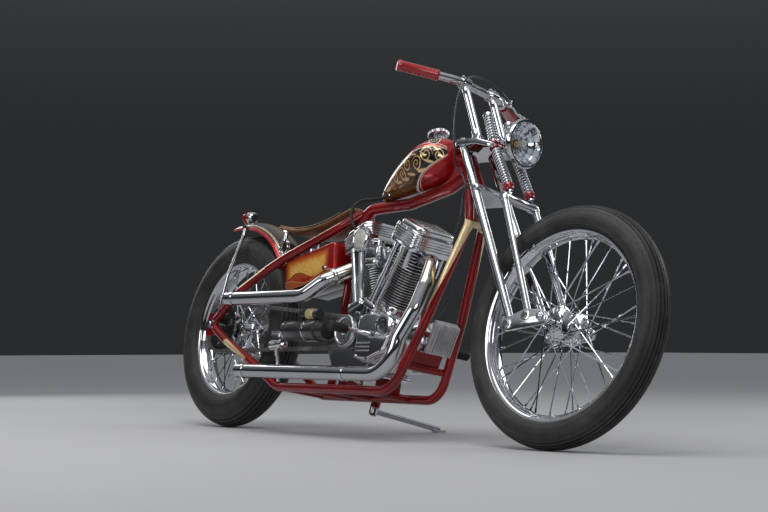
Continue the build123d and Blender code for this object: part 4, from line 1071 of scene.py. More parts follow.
def tank_paint():
    """Candy red with ivory lines, round a dark scrolled panel that wraps towards the nose."""
    paint = Paintwork("tank_paint", RED_BRIGHT)
    place = paint.place(PARKED)
    x, y, z = paint.parts(place)
    across = (x - TANK_TAIL.x) * TANK_ALONG.x + (z - TANK_TAIL.z) * TANK_ALONG.z
    up = (x - TANK_TAIL.x) * TANK_RISE.x + (z - TANK_TAIL.z) * TANK_RISE.z
    side = abs(y)
    flake = paint.noise(place, 1500, 1)
    depth = paint.noise(place, 8, 2)
    paint.laid = paint.mix(depth.rise(0.3, 0.7), (0.5, 0.008, 0.01), (0.3, 0.003, 0.006))
    paint.metal = 0.25 + flake * 0.3
    skin = across + (0.1 - side).more(0.0) * 0.75 * across.rise(0.2, 0.3)
    swell = (skin * (pi / 0.425)).sine().more(0.0).root()
    band_low = swell * 0.029 - 0.01
    band_high = swell * 0.046 - 0.006
    floor_line = swell * -0.054 - 0.006
    within = skin.rise(0.014, 0.016) * (1 - skin.rise(0.417, 0.419))
    flank = (band_low - up).rise(0.0, 0.001) * (up - floor_line).rise(0.0, 0.001) * within
    warm = paint.mix(skin.rise(0.12, 0.34), (0.2, 0.075, 0.016), BLACK_PAINT)
    paint.lay(flank, warm, 0.3)
    patch = across.rise(0.14, 0.1415) * (1 - across.rise(0.262, 0.2635))
    patch = patch * (up - band_high).rise(0.006, 0.0072)
    paint.lay(patch * (0.058 - side).rise(0.0, 0.001), BLACK_PAINT, 0.1)
    medal_off = skin - 0.372
    medal_up = up - 0.04
    medal = (medal_off * medal_off + medal_up * medal_up).root()
    paint.lay(1 - medal.rise(0.0185, 0.0195), BLACK_PAINT, 0.2)
    lines = abs(up - band_low).less(abs(up - floor_line)).less(abs(up - band_high)) - 0.0008
    paint.lay((1 - lines.rise(0.0, 0.0006)) * within * medal.rise(0.0215, 0.022), IVORY)
    hair = abs(up - band_low - 0.0055).less(abs(up - floor_line + 0.0035)) - 0.0003
    paint.lay((1 - hair.rise(0.0, 0.0006)) * within * medal.rise(0.0215, 0.022), GOLD_PALE, 0.4)
    ring = abs(medal - 0.02).less(abs(medal - 0.0232) + 0.0004) - 0.0007
    paint.lay(1 - ring.rise(0.0, 0.0006), IVORY)
    scrolls = [((0.386, -0.022), 0.022, 1.8, 1.0), ((0.338, -0.012), 0.026, 1.9, -1.0),
               ((0.292, -0.026), 0.022, 1.8, 1.0), ((0.248, -0.01), 0.022, 1.8, -1.0),
               ((0.204, -0.022), 0.02, 1.8, 1.0), ((0.162, -0.01), 0.017, 1.7, -1.0),
               ((0.122, -0.018), 0.013, 1.6, 1.0)]
    leaves = [((0.412, -0.036), 2.5, 0.034, 0.004), ((0.366, 0.01), -0.7, 0.028, 0.003),
              ((0.364, -0.04), 2.8, 0.04, 0.004), ((0.312, 0.004), -0.8, 0.026, 0.003),
              ((0.33, -0.05), 3.0, 0.044, 0.004), ((0.27, 0.01), -0.4, 0.03, 0.003),
              ((0.27, -0.046), 2.8, 0.04, 0.004), ((0.226, 0.006), -0.5, 0.026, 0.003),
              ((0.226, -0.042), 2.9, 0.038, 0.004), ((0.182, -0.034), 2.8, 0.034, 0.004),
              ((0.142, 0.002), -0.3, 0.024, 0.003), ((0.108, -0.016), 3.0, 0.044, 0.004)]
    art = paint.leaf(skin, up, *leaves[0])
    for leaf in leaves[1:]:
        art = art.more(paint.leaf(skin, up, *leaf))
    for at, size, turns, hand in scrolls:
        art = art.more(paint.scroll(skin, up, at, size, turns, hand))
    leafing = paint.noise(place, 160, 3)
    gold = paint.mix(leafing.rise(0.3, 0.7), GOLD, GOLD_PALE)
    paint.lay(art * flank, gold, 0.5)
    paint.lay(paint.scroll(skin, up, (0.372, 0.04), 0.016, 1.8, -1.0), gold, 0.5)
    return paint.finish(0.16 + depth * 0.08)


fitted(tank, tank_paint(), "frame", "fuel_tank", slot="candy_red", smooth=60)

# Filler cap: a wide chromed disc on a narrow neck, its edge milled.
CAP_FOOT = Vector((0.9865, 0, 0.903))
CAP_SEAT = Vector((0.972, 0, 0.944))
CAP_TOP = Vector((0.966, 0, 0.96))
cap_along = (CAP_TOP - CAP_SEAT).normalized()
cap_side = cap_along.cross(LEFT)
cap_parts = [
    spun("cap_neck", [(0.0, 0.0), (0.0215, 0.0), (0.0215, 0.006), (0.0175, 0.009),
                      (0.0175, 0.041), (0.0, 0.041)],
         CAP_FOOT, axis=(CAP_SEAT - CAP_FOOT).normalized(), start=cap_side, steps=32),
    spun("cap_disc", [(0.0, -0.002), (0.03, -0.002), (0.0325, 0.0), (0.0325, 0.0085), (0.0305, 0.011),
                      (0.022, 0.0128), (0.02, 0.0168),
                      (0.0, 0.0168)], CAP_SEAT, axis=cap_along, start=cap_side, steps=48),
]
milled = rod(CAP_SEAT + cap_side * 0.0322 + cap_along * 0.001,
             CAP_SEAT + cap_side * 0.0322 + cap_along * 0.008, 0.0016, 6)
cap_parts.append(ringed(milled, 36, CAP_SEAT, cap_along))
fitted(joined(cap_parts, "fuel_cap_dressed"), chrome, "frame", "fuel_cap", slot="chrome")


# ============================================================ OIL TANK
# A wedge-shaped tank under the seat: gold leaf that burns to orange and red at its edges,
# over one long red scallop, with painted shade in black along its belly, and chromed fittings.
OIL_SIDE = [(0.35, 0.55), (0.378, 0.448), (0.656, 0.497), (0.628, 0.611)]
OIL_CUT = 0.022


oil_parts = []
for low, high in ((-0.092, -OIL_CUT), (OIL_CUT, 0.08)):
    oil_parts.append(plate(softened(OIL_SIDE, 0.018, 8), low, high, "oil_half", 0.008, 4))
NARROW = [(0.35, 0.55), (0.378, 0.448), (0.586, 0.485), (0.586, 0.601)]
oil_parts.append(plate(softened(NARROW, 0.01, 4), -OIL_CUT - 0.004, OIL_CUT + 0.004, "oil_middle"))
oil_piece = joined(oil_parts, "oil_tank_dressed")


def oil_paint():
    """Gold leaf that burns to orange and red towards the edges, over one long scallop, with painted shade
    in black along the bottom.
    """
    paint = Paintwork("oil_tank_paint", GOLD)
    place = paint.place(PARKED)
    x, y, z = paint.parts(place)
    along = (x - 0.364) * 0.985 + (z - 0.499) * 0.172
    up = (z - 0.499) * 0.985 - (x - 0.364) * 0.172
    leafing = paint.noise(place, 90, 4)
    gold = paint.mix(leafing.rise(0.3, 0.75), (0.88, 0.42, 0.07), (0.98, 0.66, 0.2))
    edge = (0.062 - abs(up)).less(along + 0.004).less(0.262 - along)
    burst = 1 - (edge + leafing * 0.008).rise(0.004, 0.062)
    orange = paint.mix(burst.rise(0.1, 0.65), gold, (0.62, 0.13, 0.012))
    paint.laid = paint.mix(burst.rise(0.55, 0.95), orange, (0.3, 0.005, 0.006))
    paint.metal = 0.25 + leafing * 0.2
    wave = ((along - 0.02) * (2 * pi / 0.21)).sine() * 0.016 - 0.02
    scallop = (wave - up).rise(0.0, 0.0012) * (1 - (wave - up).rise(0.022, 0.04) * 0.5)
    paint.lay(scallop * 0.8, RED_BRIGHT, 0.5)
    second = ((along + 0.03) * (2 * pi / 0.21)).sine() * 0.01 - 0.034
    paint.lay((second - up).rise(0.0, 0.0012) * 0.55, (0.6, 0.22, 0.05), 0.5)
    paint.lay(1 - (abs(up - wave) - 0.0007).rise(0.0, 0.0006), RED_DEEP, 0.4)
    paint.lay((1 - (abs(up - second) - 0.0005).rise(0.0, 0.0006)) * 0.8, GOLD_PALE, 0.4)
    # Painted shade: the lowest strip of the tank is painted black, where it would sit in shadow.
    paint.lay((-0.05 - up).rise(0.0, 0.001), BLACK_PAINT)
    return paint.finish(0.19 + leafing * 0.1)


fitted(oil_piece, oil_paint(), "frame", "oil_tank", slot="gold_leaf")

# Its filler cap and the drain, each a turned fitting.
oil_trim = joined([
    spun("oil_filler", [(0.0, 0.0), (0.016, 0.0), (0.016, 0.005), (0.021, 0.006), (0.021, 0.016),
                        (0.018, 0.0185), (0.0, 0.0185)],
         Vector((0.47, -0.058, 0.574)), axis=Vector((-0.21, 0, 0.977)),
         start=Vector((0.977, 0, 0.21)), steps=32),
    rod(Vector((0.6, -0.0915, 0.52)), Vector((0.6, -0.099, 0.52)), 0.01, 6),
    rod(Vector((0.6, -0.0985, 0.52)), Vector((0.6, -0.104, 0.52)), 0.006, 16),
], "oil_fittings")
fitted(oil_trim, chrome, "frame", slot="chrome")


# ============================================================ SEAT
# A thin sprung saddle: tan leather stretched over a steel pan, its edge rolled and laced,
# padded a little and polished by use.
SEAT_TOP = [(0.2245, 0.6925), (0.228, 0.6918), (0.24, 0.6885), (0.27, 0.68), (0.32, 0.67), (0.375, 0.665),
            (0.43, 0.666), (0.48, 0.676), (0.52, 0.692), (0.565, 0.717), (0.596, 0.7365), (0.604, 0.7415)]
SEAT_HALVES = [0.03, 0.052, 0.07, 0.084, 0.0915, 0.0905, 0.086, 0.076, 0.063, 0.047, 0.036, 0.024]
SEAT_THICK = 0.015


def seat_rings(grow):
    """Sections from the tail to the nose: a shallow dish with rolled sides."""
    rings = []
    for (x, z), half in zip(SEAT_TOP, SEAT_HALVES):
        ring = []
        for step in range(32):
            angle = 2 * pi * step / 32
            across = cos(angle)
            thick = SEAT_THICK / 2 * sin(angle)
            power = 0.72
            wide = half * (abs(across) ** power) * (1 if across > 0 else -1)
            dish = 0.0012 * (wide / half) ** 2 * min(1, half / 0.08)
            ring.append(Vector((x, wide * grow, z - SEAT_THICK / 2 + thick + dish - 0.001)))
        rings.append(ring)
    return rings


seat = skinned("seat_dressed", seat_rings(0.985))
applied(seat, "SUBSURF", levels=2)
applied(seat, "REMESH", mode="VOXEL", voxel_size=0.0032)
start_places = [vertex.co.copy() for vertex in seat.data.vertices]
cloth = seat.modifiers.new("cloth", "CLOTH")
cloth.settings.use_pressure = True
cloth.settings.uniform_pressure_force = 3.0
cloth.settings.tension_stiffness = 40
cloth.settings.effector_weights.gravity = 0
for moment in range(1, 16):
    bpy.context.scene.frame_set(moment)
only(seat)
bpy.ops.object.modifier_apply(modifier="cloth")
bpy.context.scene.frame_set(1)
SWELL = 0.0016
for vertex, start_place in zip(seat.data.vertices, start_places):
    shift = vertex.co - start_place
    if shift.length > SWELL:
        vertex.co = start_place + shift.normalized() * SWELL


def seat_leather():
    """Tan leather: grain and creases, paler along the middle where it is rubbed."""
    leather = Finish("tan_leather", Coat_Weight=0.08, Coat_Roughness=0.3, Specular_IOR_Level=0.3)
    place = leather.place(PARKED)
    x, y, z = leather.parts(place)
    tone = leather.noise(place, 18, 6, 0.62)
    grain = leather.node("TexVoronoi", {"feature": "DISTANCE_TO_EDGE"}, Vector=place, Scale=620.0)
    centre_wear = 1 - abs(y).rise(0.0, 0.085)
    base = leather.mix(tone.rise(0.3, 0.75), (0.23, 0.105, 0.045), (0.12, 0.052, 0.022))
    base = leather.mix(centre_wear * 0.45, base, (0.34, 0.19, 0.09))
    creases = leather.noise(leather.node("Mapping", Vector=place, Scale=Vector((70, 240, 90))), 1.0, 4, 0.6)
    leather.feed("Base_Color", base)
    leather.feed("Roughness", 0.34 + tone * 0.22)
    leather.bump(grain.rise(0.0, 0.12) * 0.35 + creases * 0.5, 0.35, 0.0012)
    return leather.material


fitted(seat, seat_leather(), "frame", "seat", slot="tan_leather", smooth=60)

# The border's lacing: a waxed thread over the rolled edge, in a loop of short stitches.
stitches = []
edge_points = []
for (x, z), half in zip(SEAT_TOP[3:-2], SEAT_HALVES[3:-2]):
    edge_points.append(Vector((x, half * 0.93, z + 0.0008)))
for sign in (1, -1):
    for first, second in zip(edge_points, edge_points[1:]):
        for step in range(7):
            low = first.lerp(second, step / 7)
            high = first.lerp(second, (step + 0.6) / 7)
            stitches.append(rod(Vector((low.x, sign * low.y, low.z)),
                                Vector((high.x, sign * high.y, high.z)), 0.0011, 5))


def thread_finish():
    thread = Finish("waxed_thread", Roughness=0.6)
    twist = thread.noise(thread.place(), 900, 2)
    thread.tint(twist, (0.5, 0.36, 0.2), (0.3, 0.2, 0.1))
    thread.bump(twist, 0.3, 0.0004)
    return thread.material


fitted(joined(stitches, "seat_lacing"), thread_finish(), "frame", slot="tan_leather")

# Saddle springs: a chromed coil of two rings each side, between posts, and a pivot at the nose.
spring_parts = []
for sign in (1, -1):
    foot = Vector((0.3, sign * 0.07, 0.5405))
    post_low = rod(foot, foot + UP * 0.046, 0.0075, 16)
    post_high = rod(foot + UP * 0.086, foot + UP * 0.1225, 0.0075, 16)
    spring_parts += [post_low, post_high]
    for count in range(2):
        deselect()
        bpy.ops.mesh.primitive_torus_add(
            major_radius=0.0245, minor_radius=0.0032, major_segments=48, minor_segments=10,
            location=foot + Vector((0, -sign * (count - 0.5) * 0.007, 0.066)), rotation=(pi / 2, 0, 0),
        )
        bpy.ops.object.transform_apply(location=True, rotation=True, scale=True)
        spring_parts.append(bpy.context.object)
    for height in (0.003, 0.116):
        spring_parts.append(rod(foot + UP * height, foot + UP * (height + 0.006), 0.013, 6))
spring_parts.append(rod(Vector((0.606, 0, 0.674)), Vector((0.5905, 0, 0.731)), 0.0068, 16))
fitted(joined(spring_parts, "saddle_springs"), chrome, "frame", "seat_springs", slot="chrome")


# ============================================================ REAR FENDER
# A short bobbed fender of rolled sheet: black with an olive-gold fade, a gold and an ivory
# pinstripe, and a red bead along each edge.
FENDER_EDGE, FENDER_RISE, FENDER_HALF = 0.35, 0.034, 0.065
FENDER_FROM, FENDER_TO = 36.0, 99.0


def fender_section(inset):
    """Arch points (radius, y) from the right edge to the left."""
    half = FENDER_HALF - inset
    bow = (half * half + FENDER_RISE ** 2) / (2 * FENDER_RISE)
    reach = atan2(half, bow - FENDER_RISE)
    return [(FENDER_EDGE + FENDER_RISE - inset - bow + bow * cos(angle), bow * sin(angle))
            for angle in [reach * (step / 12 - 1) for step in range(25)]]


outer, inner_arch = fender_section(0.0), fender_section(0.003)
shell_ring = outer + inner_arch[::-1]
fender_rings = []
for step in range(37):
    turn = radians(FENDER_FROM + (FENDER_TO - FENDER_FROM) * step / 36)
    fender_rings.append([REAR_AXLE + Vector((r * cos(turn), y, r * sin(turn))) for r, y in shell_ring])
fender_parts = [skinned("fender_shell", fender_rings)]
for sign in (1, -1):
    for step in range(36):
        ends = []
        for edge in (step, step + 1):
            turn = radians(FENDER_FROM + (FENDER_TO - FENDER_FROM) * edge / 36)
            ends.append(REAR_AXLE + Vector(((FENDER_EDGE + 0.0025) * cos(turn),
                                            sign * (FENDER_HALF - 0.0032),
                                            (FENDER_EDGE + 0.0025) * sin(turn))))
        fender_parts.append(rod(ends[0], ends[1], 0.0032, 8))
fender = joined(fender_parts, "rear_fender_dressed")


def fender_paint():
    paint = Paintwork("fender_paint", BLACK_PAINT)
    place = paint.place(PARKED)
    x, y, z = paint.parts(place)
    leafing = paint.noise(place, 60, 4)
    fade = (1 - abs(y).rise(0.0, 0.05)) * leafing.rise(0.1, 0.7)
    paint.laid = paint.mix(fade * 0.85, BLACK_PAINT, (0.19, 0.12, 0.018))
    paint.metal = fade * 0.3
    paint.lay(1 - (abs(abs(y) - 0.052) - 0.0009).rise(0.0, 0.0006), GOLD, 0.6)
    paint.lay(1 - (abs(abs(y) - 0.049) - 0.0003).rise(0.0, 0.0006), IVORY)
    paint.lay(abs(y).rise(0.0575, 0.0585), RED_BRIGHT, 0.5)
    return paint.finish(0.18 + leafing * 0.12)


fitted(fender, fender_paint(), "frame", "rear_fender", slot="fender_paint", smooth=60)

# Fender struts: one bar each side from the fender's tail to the axle plate.
def ball(place, radius, segments, ring_count):
    deselect()
    bpy.ops.mesh.primitive_uv_sphere_add(
        segments=segments, ring_count=ring_count, radius=radius, location=place
    )
    bpy.ops.object.transform_apply(location=True, rotation=True, scale=True)
    return bpy.context.object


strut_parts = []
for sign in (1, -1):
    route = [Vector((0.038, sign * 0.076, 0.69)), Vector((0.04, sign * 0.078, 0.656)),
             Vector((0.043, sign * 0.1, 0.575)), Vector((0.044, sign * 0.116, 0.515)),
             Vector((0.04, sign * 0.1215, 0.44)), Vector((0.034, sign * 0.124, 0.3765))]
    for first, second in zip(route, route[1:]):
        strut_parts += [
            rod(first, second, 0.0062, 14),
            ball(second, 0.0062, 14, 8),
        ]
    strut_parts += [
        rod(Vector((0.038, sign * 0.0575, 0.688)), Vector((0.038, sign * 0.078, 0.688)), 0.0068, 16),
        rod(Vector((0.038, sign * 0.078, 0.688)), Vector((0.038, sign * 0.0835, 0.688)), 0.009, 6),
        rod(Vector((0.0345, sign * 0.124, 0.384)), Vector((0.0345, sign * 0.1335, 0.384)), 0.0085, 6),
    ]
fitted(joined(strut_parts, "fender_struts_dressed"), chrome, "frame", "fender_struts", slot="chrome")

# Tail light: a chromed cup with a red ribbed lens on a bracket.
TAIL = Vector((-0.062, 0, 0.742))
tail_shell = joined([
    spun("tail_cup", [(0.0, -0.0255), (0.014, -0.0255), (0.0195, -0.019), (0.0219, -0.01),
                      (0.0219, 0.0), (0.0195, 0.0), (0.019, -0.004), (0.0, -0.004)],
         TAIL + Vector((-0.034 + 0.0255 + 0.0085, 0, 0)), axis=BACK, start=UP, steps=40),
    block(Vector((TAIL.x + 0.008, 0, 0.728)), (0.018, 0.014, 0.024), 0.002),
], "tail_light_dressed")
fitted(tail_shell, chrome, "frame", "tail_light", slot="lamp_red")
tail_lens = spun("tail_lens", [(0.0, 0.0), (0.0188, 0.0), (0.0188, 0.004), (0.015, 0.0072),
                               (0.0085, 0.0092), (0.0, 0.0098)], TAIL + Vector((-0.0235, 0, 0)), axis=BACK,
                 start=UP, steps=40)


def red_lens():
    lens = Finish("red_lens", Coat_Weight=0.8, Roughness=0.12, Specular_IOR_Level=0.6)
    place = lens.place(PARKED)
    x, y, z = lens.parts(place)
    ribs = ((z * 900.0).sine() + (y * 900.0).sine()) * 0.5
    lens.tint(ribs.rise(-0.8, 0.9), (0.22, 0.002, 0.004), (0.45, 0.012, 0.01))
    lens.bump(ribs, 0.4, 0.0008)
    return lens.material


fitted(tail_lens, red_lens(), "frame", slot="lamp_red")


# ============================================================ SPRINGER FORK
# A springer: two rear legs that steer, two sprung legs ahead of them, rockers that join
# both to the axle, and coil springs either side of a plate. It is chromed steel, with red
# cups under the springs and polished rockers.
LEG_TOP = Vector((1.184, 0.062, 0.862))
PIVOT = Vector((1.529, 0.08, 0.324))
SPRING_EYE = Vector((1.592, 0.086, 0.35))
SPRING_SPLIT = Vector((1.386, 0.045, 0.732))
SPRING_PLATE = Vector((1.288, 0.045, 0.87))
SPRING_TOP = Vector((1.232, 0.045, 0.978))
LEG_RADIUS = 0.0135
TREE_TOP = 0.89


def mirror_side(point, sign):
    return Vector((point.x, sign * point.y, point.z))


def steering_point(height):
    return Vector((NECK.x + (NECK.z - height) * tan(RAKE), 0, height))


def necked(name, start, end, stations, sides=24):
    """A turned bar: (share of the length, radius) stations from start to end."""
    along = (end - start).normalized()
    side_way = along.orthogonal().normalized()
    length = (end - start).length
    profile = [(0.0, stations[0][0] * length)]
    profile += [(radius, share * length) for share, radius in stations]
    profile += [(0.0, stations[-1][0] * length)]
    return spun(name, profile, start, axis=along, start=side_way, steps=sides)


leg_parts = []
for sign in (1, -1):
    top = mirror_side(LEG_TOP, sign) + STEERING * 0.032
    foot = mirror_side(PIVOT, sign)
    leg_parts.append(necked("rear_leg", top, foot, [
        (0.0, 0.0118), (0.004, LEG_RADIUS), (0.2, LEG_RADIUS), (0.86, LEG_RADIUS),
        (0.9, 0.0125), (0.955, 0.012), (0.96, 0.015), (1.0, 0.015)]))
    leg_parts += [
        rod(foot - LEFT * (sign * 0.014), foot + LEFT * (sign * 0.02), 0.0105, 24),
        bolt_head(foot + LEFT * (sign * 0.0205), Vector((0, sign, 0)), 0.0125, 0.008),
    ]
    nut_at = mirror_side(LEG_TOP, sign) + STEERING * 0.03
    leg_parts.append(rod(nut_at, nut_at + STEERING * 0.01, 0.0105, 6))
leg_parts.append(rod(steering_point(0.722), steering_point(0.876), 0.0139, 24))


def tree(outline, place, half, edge=0.003):
    """A flat tree, its outline (ahead, left) square to the steering axis."""
    piece = slab(outline, 2 * half, "tree", edge, 3)
    axes = Matrix((ACROSS, LEFT, STEERING)).transposed().to_4x4()
    piece.data.transform(Matrix.Translation(place - STEERING * half) @ axes)
    return piece


low_outline = softened([(-0.014, -0.006), (0.034, -0.082), (0.058, -0.082), (0.058, 0.082), (0.034, 0.082),
                        (-0.014, 0.006)], 0.009, 4)
leg_parts.append(tree(low_outline, steering_point(0.712), 0.0088))
TOP_SIDE = [(1.113, 0.857), (1.166, 0.872), (1.24, 0.872), (1.296, 0.862), (1.299, TREE_TOP - 0.012),
            (1.244, TREE_TOP), (1.16, TREE_TOP), (1.106, 0.873)]
top_tree = plate(TOP_SIDE, -0.0815, 0.0815, "top_tree", 0.004, 3)
for vertex in top_tree.data.vertices:
    reach = abs(vertex.co.y)
    if vertex.co.x < 1.15:
        vertex.co.y *= min(1.0, (0.082 - 0.042 * (1.15 - vertex.co.x) / 0.042) / 0.082)
    if vertex.co.x > 1.285:
        vertex.co.y *= min(1.0, 0.072 / 0.082)
leg_parts += [
    top_tree,
    rod(steering_point(0.884), steering_point(0.905), 0.019, 6),
    rod(steering_point(0.903), steering_point(0.912), 0.012, 24),
]
for sign in (1, -1):
    clamp = steering_point(0.712) + ACROSS * 0.046 + LEFT * (sign * 0.0815)
    leg_parts.append(bolt_head(clamp, Vector((0, sign, 0)), 0.006, 0.006))
fitted(joined(leg_parts, "fork_legs_dressed"), chrome, "fork", "fork_legs", slot="chrome")

# The sprung legs and their crosspiece.
sprung = []
for sign in (1, -1):
    eye = mirror_side(SPRING_EYE, sign)
    head = mirror_side(SPRING_SPLIT, sign) + Vector((0.003, sign * 0.021, -0.024))
    sprung.append(necked("front_leg", eye, head, [(0.0, 0.0125), (0.03, 0.0125), (0.034, 0.0102),
        (0.965, 0.0102), (0.97, 0.0125), (1.0, 0.0125)]))
    sprung += [
        rod(eye - LEFT * (sign * 0.012), eye + LEFT * (sign * 0.014), 0.0105, 24),
        bolt_head(eye + LEFT * (sign * 0.0145), Vector((0, sign, 0)), 0.012, 0.0075),
    ]
cross_at = Vector((SPRING_SPLIT.x, 0, SPRING_SPLIT.z - 0.024))
sprung.append(necked("spring_cross", cross_at + LEFT * -0.072, cross_at + LEFT * 0.072, [
    (0.0, 0.012), (0.02, 0.015), (0.16, 0.015), (0.24, 0.0125), (0.42, 0.0135),
    (0.5, 0.015), (0.58, 0.0135), (0.76, 0.0125), (0.84, 0.015), (0.98, 0.015), (1.0, 0.012)]))
fitted(joined(sprung, "fork_spring_legs_dressed"), chrome, "fork", "fork_spring_legs", slot="chrome")


# Coil springs over their rods, with red cups at the bottom and at the plate.
def coil(name, start, end, radius, wire, turns):
    """A wire helix from start to end, as a mesh tube."""
    along = (end - start).normalized()
    side_way = along.orthogonal().normalized()
    other = along.cross(side_way)
    length = (end - start).length
    steps = turns * 20
    rings = []
    for step in range(steps + 1):
        angle = 2 * pi * turns * step / steps
        outward = side_way * cos(angle) + other * sin(angle)
        middle = start + along * (length * step / steps) + outward * (radius - wire)
        rings.append([middle + outward * (wire * cos(2 * pi * k / 8)) + along * (wire * sin(2 * pi * k / 8))
                      for k in range(8)])
    return skinned(name, rings)


SPRING_RADIUS = 0.0158
WIRE_RADIUS = 0.0028
coil_parts, cup_parts = [], []
for sign in (1, -1):
    low, plate_at, high = (mirror_side(point, sign) for point in (SPRING_SPLIT, SPRING_PLATE, SPRING_TOP))
    lower_way = (plate_at - low).normalized()
    upper_way = (high - plate_at).normalized()
    coil_parts += [
        coil("lower_coil", low + lower_way * 0.02, plate_at - lower_way * 0.016, SPRING_RADIUS,
             WIRE_RADIUS, 13),
        coil("upper_coil", plate_at + upper_way * 0.024, high - upper_way * 0.012, SPRING_RADIUS,
             WIRE_RADIUS, 9),
        rod(low - lower_way * 0.006, plate_at, 0.008, 20),
        rod(plate_at, high, 0.008, 20),
        rod(high - upper_way * 0.012, high - upper_way * 0.006, 0.0165, 28),
        rod(high - upper_way * 0.006, high, 0.0095, 6),
    ]
    base_at = low + lower_way * 0.0185
    cup_parts.append(necked("cup", base_at, base_at - lower_way * 0.0165,
                            [(0.0, 0.0166), (0.35, 0.0166), (0.55, 0.014), (1.0, 0.0125)]))
    for seat_at, way in ((plate_at - lower_way * 0.002, lower_way * -0.0065),
                         (plate_at + upper_way * 0.009, upper_way * 0.0065)):
        cup_parts.append(necked("cup", seat_at, seat_at + way,
                                [(0.0, 0.0135), (0.15, 0.016), (0.85, 0.016), (1.0, 0.0135)]))
fitted(joined(coil_parts, "fork_springs_dressed"), chrome, "fork", "fork_springs", slot="chrome", smooth=60)
fitted(joined(cup_parts, "spring_cups"), red_lacquer, "fork", slot="candy_red")

# Rockers: polished plates with a domed bolt at each leg, on the axle.
ROCKER_Y = 0.096
rocker_parts = []
for sign in (1, -1):
    outline = loop_outline([(PIVOT.x, PIVOT.z, 0.0198), (SPRING_EYE.x, SPRING_EYE.z, 0.0198),
                            (FRONT_AXLE.x, FRONT_AXLE.z, 0.0198)])
    rocker_parts.append(plate(outline, sign * ROCKER_Y - 0.004, sign * ROCKER_Y + 0.004, "rocker", 0.0015))
    for centre in (PIVOT, SPRING_EYE):
        boss_at = Vector((centre.x, sign * (ROCKER_Y + 0.0038), centre.z))
        rocker_parts.append(spun("rocker_boss", [(0.0108, 0.0), (0.016, 0.0), (0.015, 0.003),
            (0.0108, 0.0034)], boss_at, axis=Vector((0, sign, 0)), steps=32))
fitted(joined(rocker_parts, "fork_rockers_dressed"), polished, "fork", "fork_rockers", slot="chrome")

axle_parts = [rod(FRONT_AXLE + LEFT * -0.117, FRONT_AXLE + LEFT * 0.117, 0.0078, 24)]
for sign in (1, -1):
    axle_parts += [
        rod(FRONT_AXLE + LEFT * (sign * 0.1005), FRONT_AXLE + LEFT * (sign * 0.1025), 0.014, 32),
        rod(FRONT_AXLE + LEFT * (sign * 0.1025), FRONT_AXLE + LEFT * (sign * 0.114), 0.013, 6),
    ]
    axle_parts.append(necked("axle_dome", FRONT_AXLE + LEFT * (sign * 0.114),
                             FRONT_AXLE + LEFT * (sign * 0.1178),
                             [(0.0, 0.0105), (0.6, 0.0088), (1.0, 0.005)]))
fitted(joined(axle_parts, "front_axle_dressed"), chrome, "fork", "front_axle", slot="chrome")


# ============================================================ HANDLEBAR
# A straight chromed bar swept back at both ends, on twin-rail risers, with smooth candy-red
# grips, a clutch lever on the left and nothing on the right.
BAR_RADIUS = 0.0127
BAR_X, BAR_Z = 1.123, 1.076
BAR_HALF, BAR_SWEEP = 0.25, radians(26.5)
RISER_HALF = 0.06
BAR_END_X = BAR_X - (BAR_HALF - RISER_HALF) * tan(BAR_SWEEP)


def wire_run(name, points, radius, bevel=4, resolution=8):
    """A round bar along a smooth NURBS line, made into a mesh."""
    line = bpy.data.curves.new(name, "CURVE")
    line.dimensions = "3D"
    line.bevel_depth = radius
    line.bevel_resolution = bevel
    line.use_fill_caps = True
    line.resolution_u = resolution
    spline = line.splines.new("NURBS")
    spline.points.add(len(points) - 1)
    for point, place in zip(spline.points, points):
        point.co = (*place, 1)
    spline.order_u = 3
    spline.use_endpoint_u = True
    piece = bpy.data.objects.new(name, line)
    bpy.context.scene.collection.objects.link(piece)
    only(piece)
    bpy.ops.object.convert(target="MESH")
    return bpy.context.object


bar_points = [Vector((BAR_END_X, -BAR_HALF, BAR_Z))]
corner = Vector((BAR_X, -RISER_HALF - 0.03, BAR_Z))
bar_points += [bar_points[0].lerp(corner, 0.75), corner, Vector((BAR_X, -RISER_HALF + 0.01, BAR_Z))]
bar_points += [mirror_side(point, -1) for point in bar_points[::-1]]
bar_piece = wire_run("handlebar_dressed", bar_points, BAR_RADIUS, 8, 12)
fitted(bar_piece, chrome, "fork", "handlebar", slot="chrome")

riser_parts = []
for sign in (1, -1):
    foot = Vector((1.226, sign * RISER_HALF, TREE_TOP + 0.0003))
    top = Vector((BAR_X, sign * RISER_HALF, BAR_Z))
    way = (top - foot).normalized()
    off = Vector((way.z, 0, -way.x))
    riser_parts.append(rod(foot, foot + UP * 0.012, 0.0175, 32))
    for rail in (1, -1):
        riser_parts.append(necked("riser_rail", foot + UP * 0.009 + off * (rail * 0.0062),
                                  top + off * (rail * 0.0062), [(0.0, 0.0066), (0.92, 0.0066)]))
    for share in (0.12, 0.88):
        riser_parts.append(rod(foot.lerp(top, share) - way * 0.008,
                               foot.lerp(top, share) + way * 0.008, 0.0126, 28))
    riser_parts.append(spun("bar_clamp", [(BAR_RADIUS + 0.0002, -0.0155), (0.0185, -0.0155),
                                          (0.0197, -0.014), (0.0197, 0.014), (0.0185, 0.0155),
                                          (BAR_RADIUS + 0.0002, 0.0155)], top, steps=36))
    for rise in (-0.009, 0.009):
        riser_parts.append(bolt_head(top + Vector((0.0, rise, 0.018)), UP, 0.0045, 0.0045, False))
fitted(joined(riser_parts, "handlebar_risers_dressed"), chrome, "fork", "handlebar_risers", slot="chrome")


def grip_finish():
    """Candy red: flake under a clear skin."""
    grip = Finish("grip_red", Coat_Weight=0.8, Coat_Roughness=0.08)
    place = grip.place()
    flake = grip.noise(place, 600, 2)
    grip.tint(flake.rise(0.35, 0.65), (0.38, 0.006, 0.008), (0.32, 0.004, 0.006))
    grip.feed("Metallic", 0.15 + flake * 0.1)
    grip.feed("Roughness", 0.22 + flake * 0.15)
    return grip.material


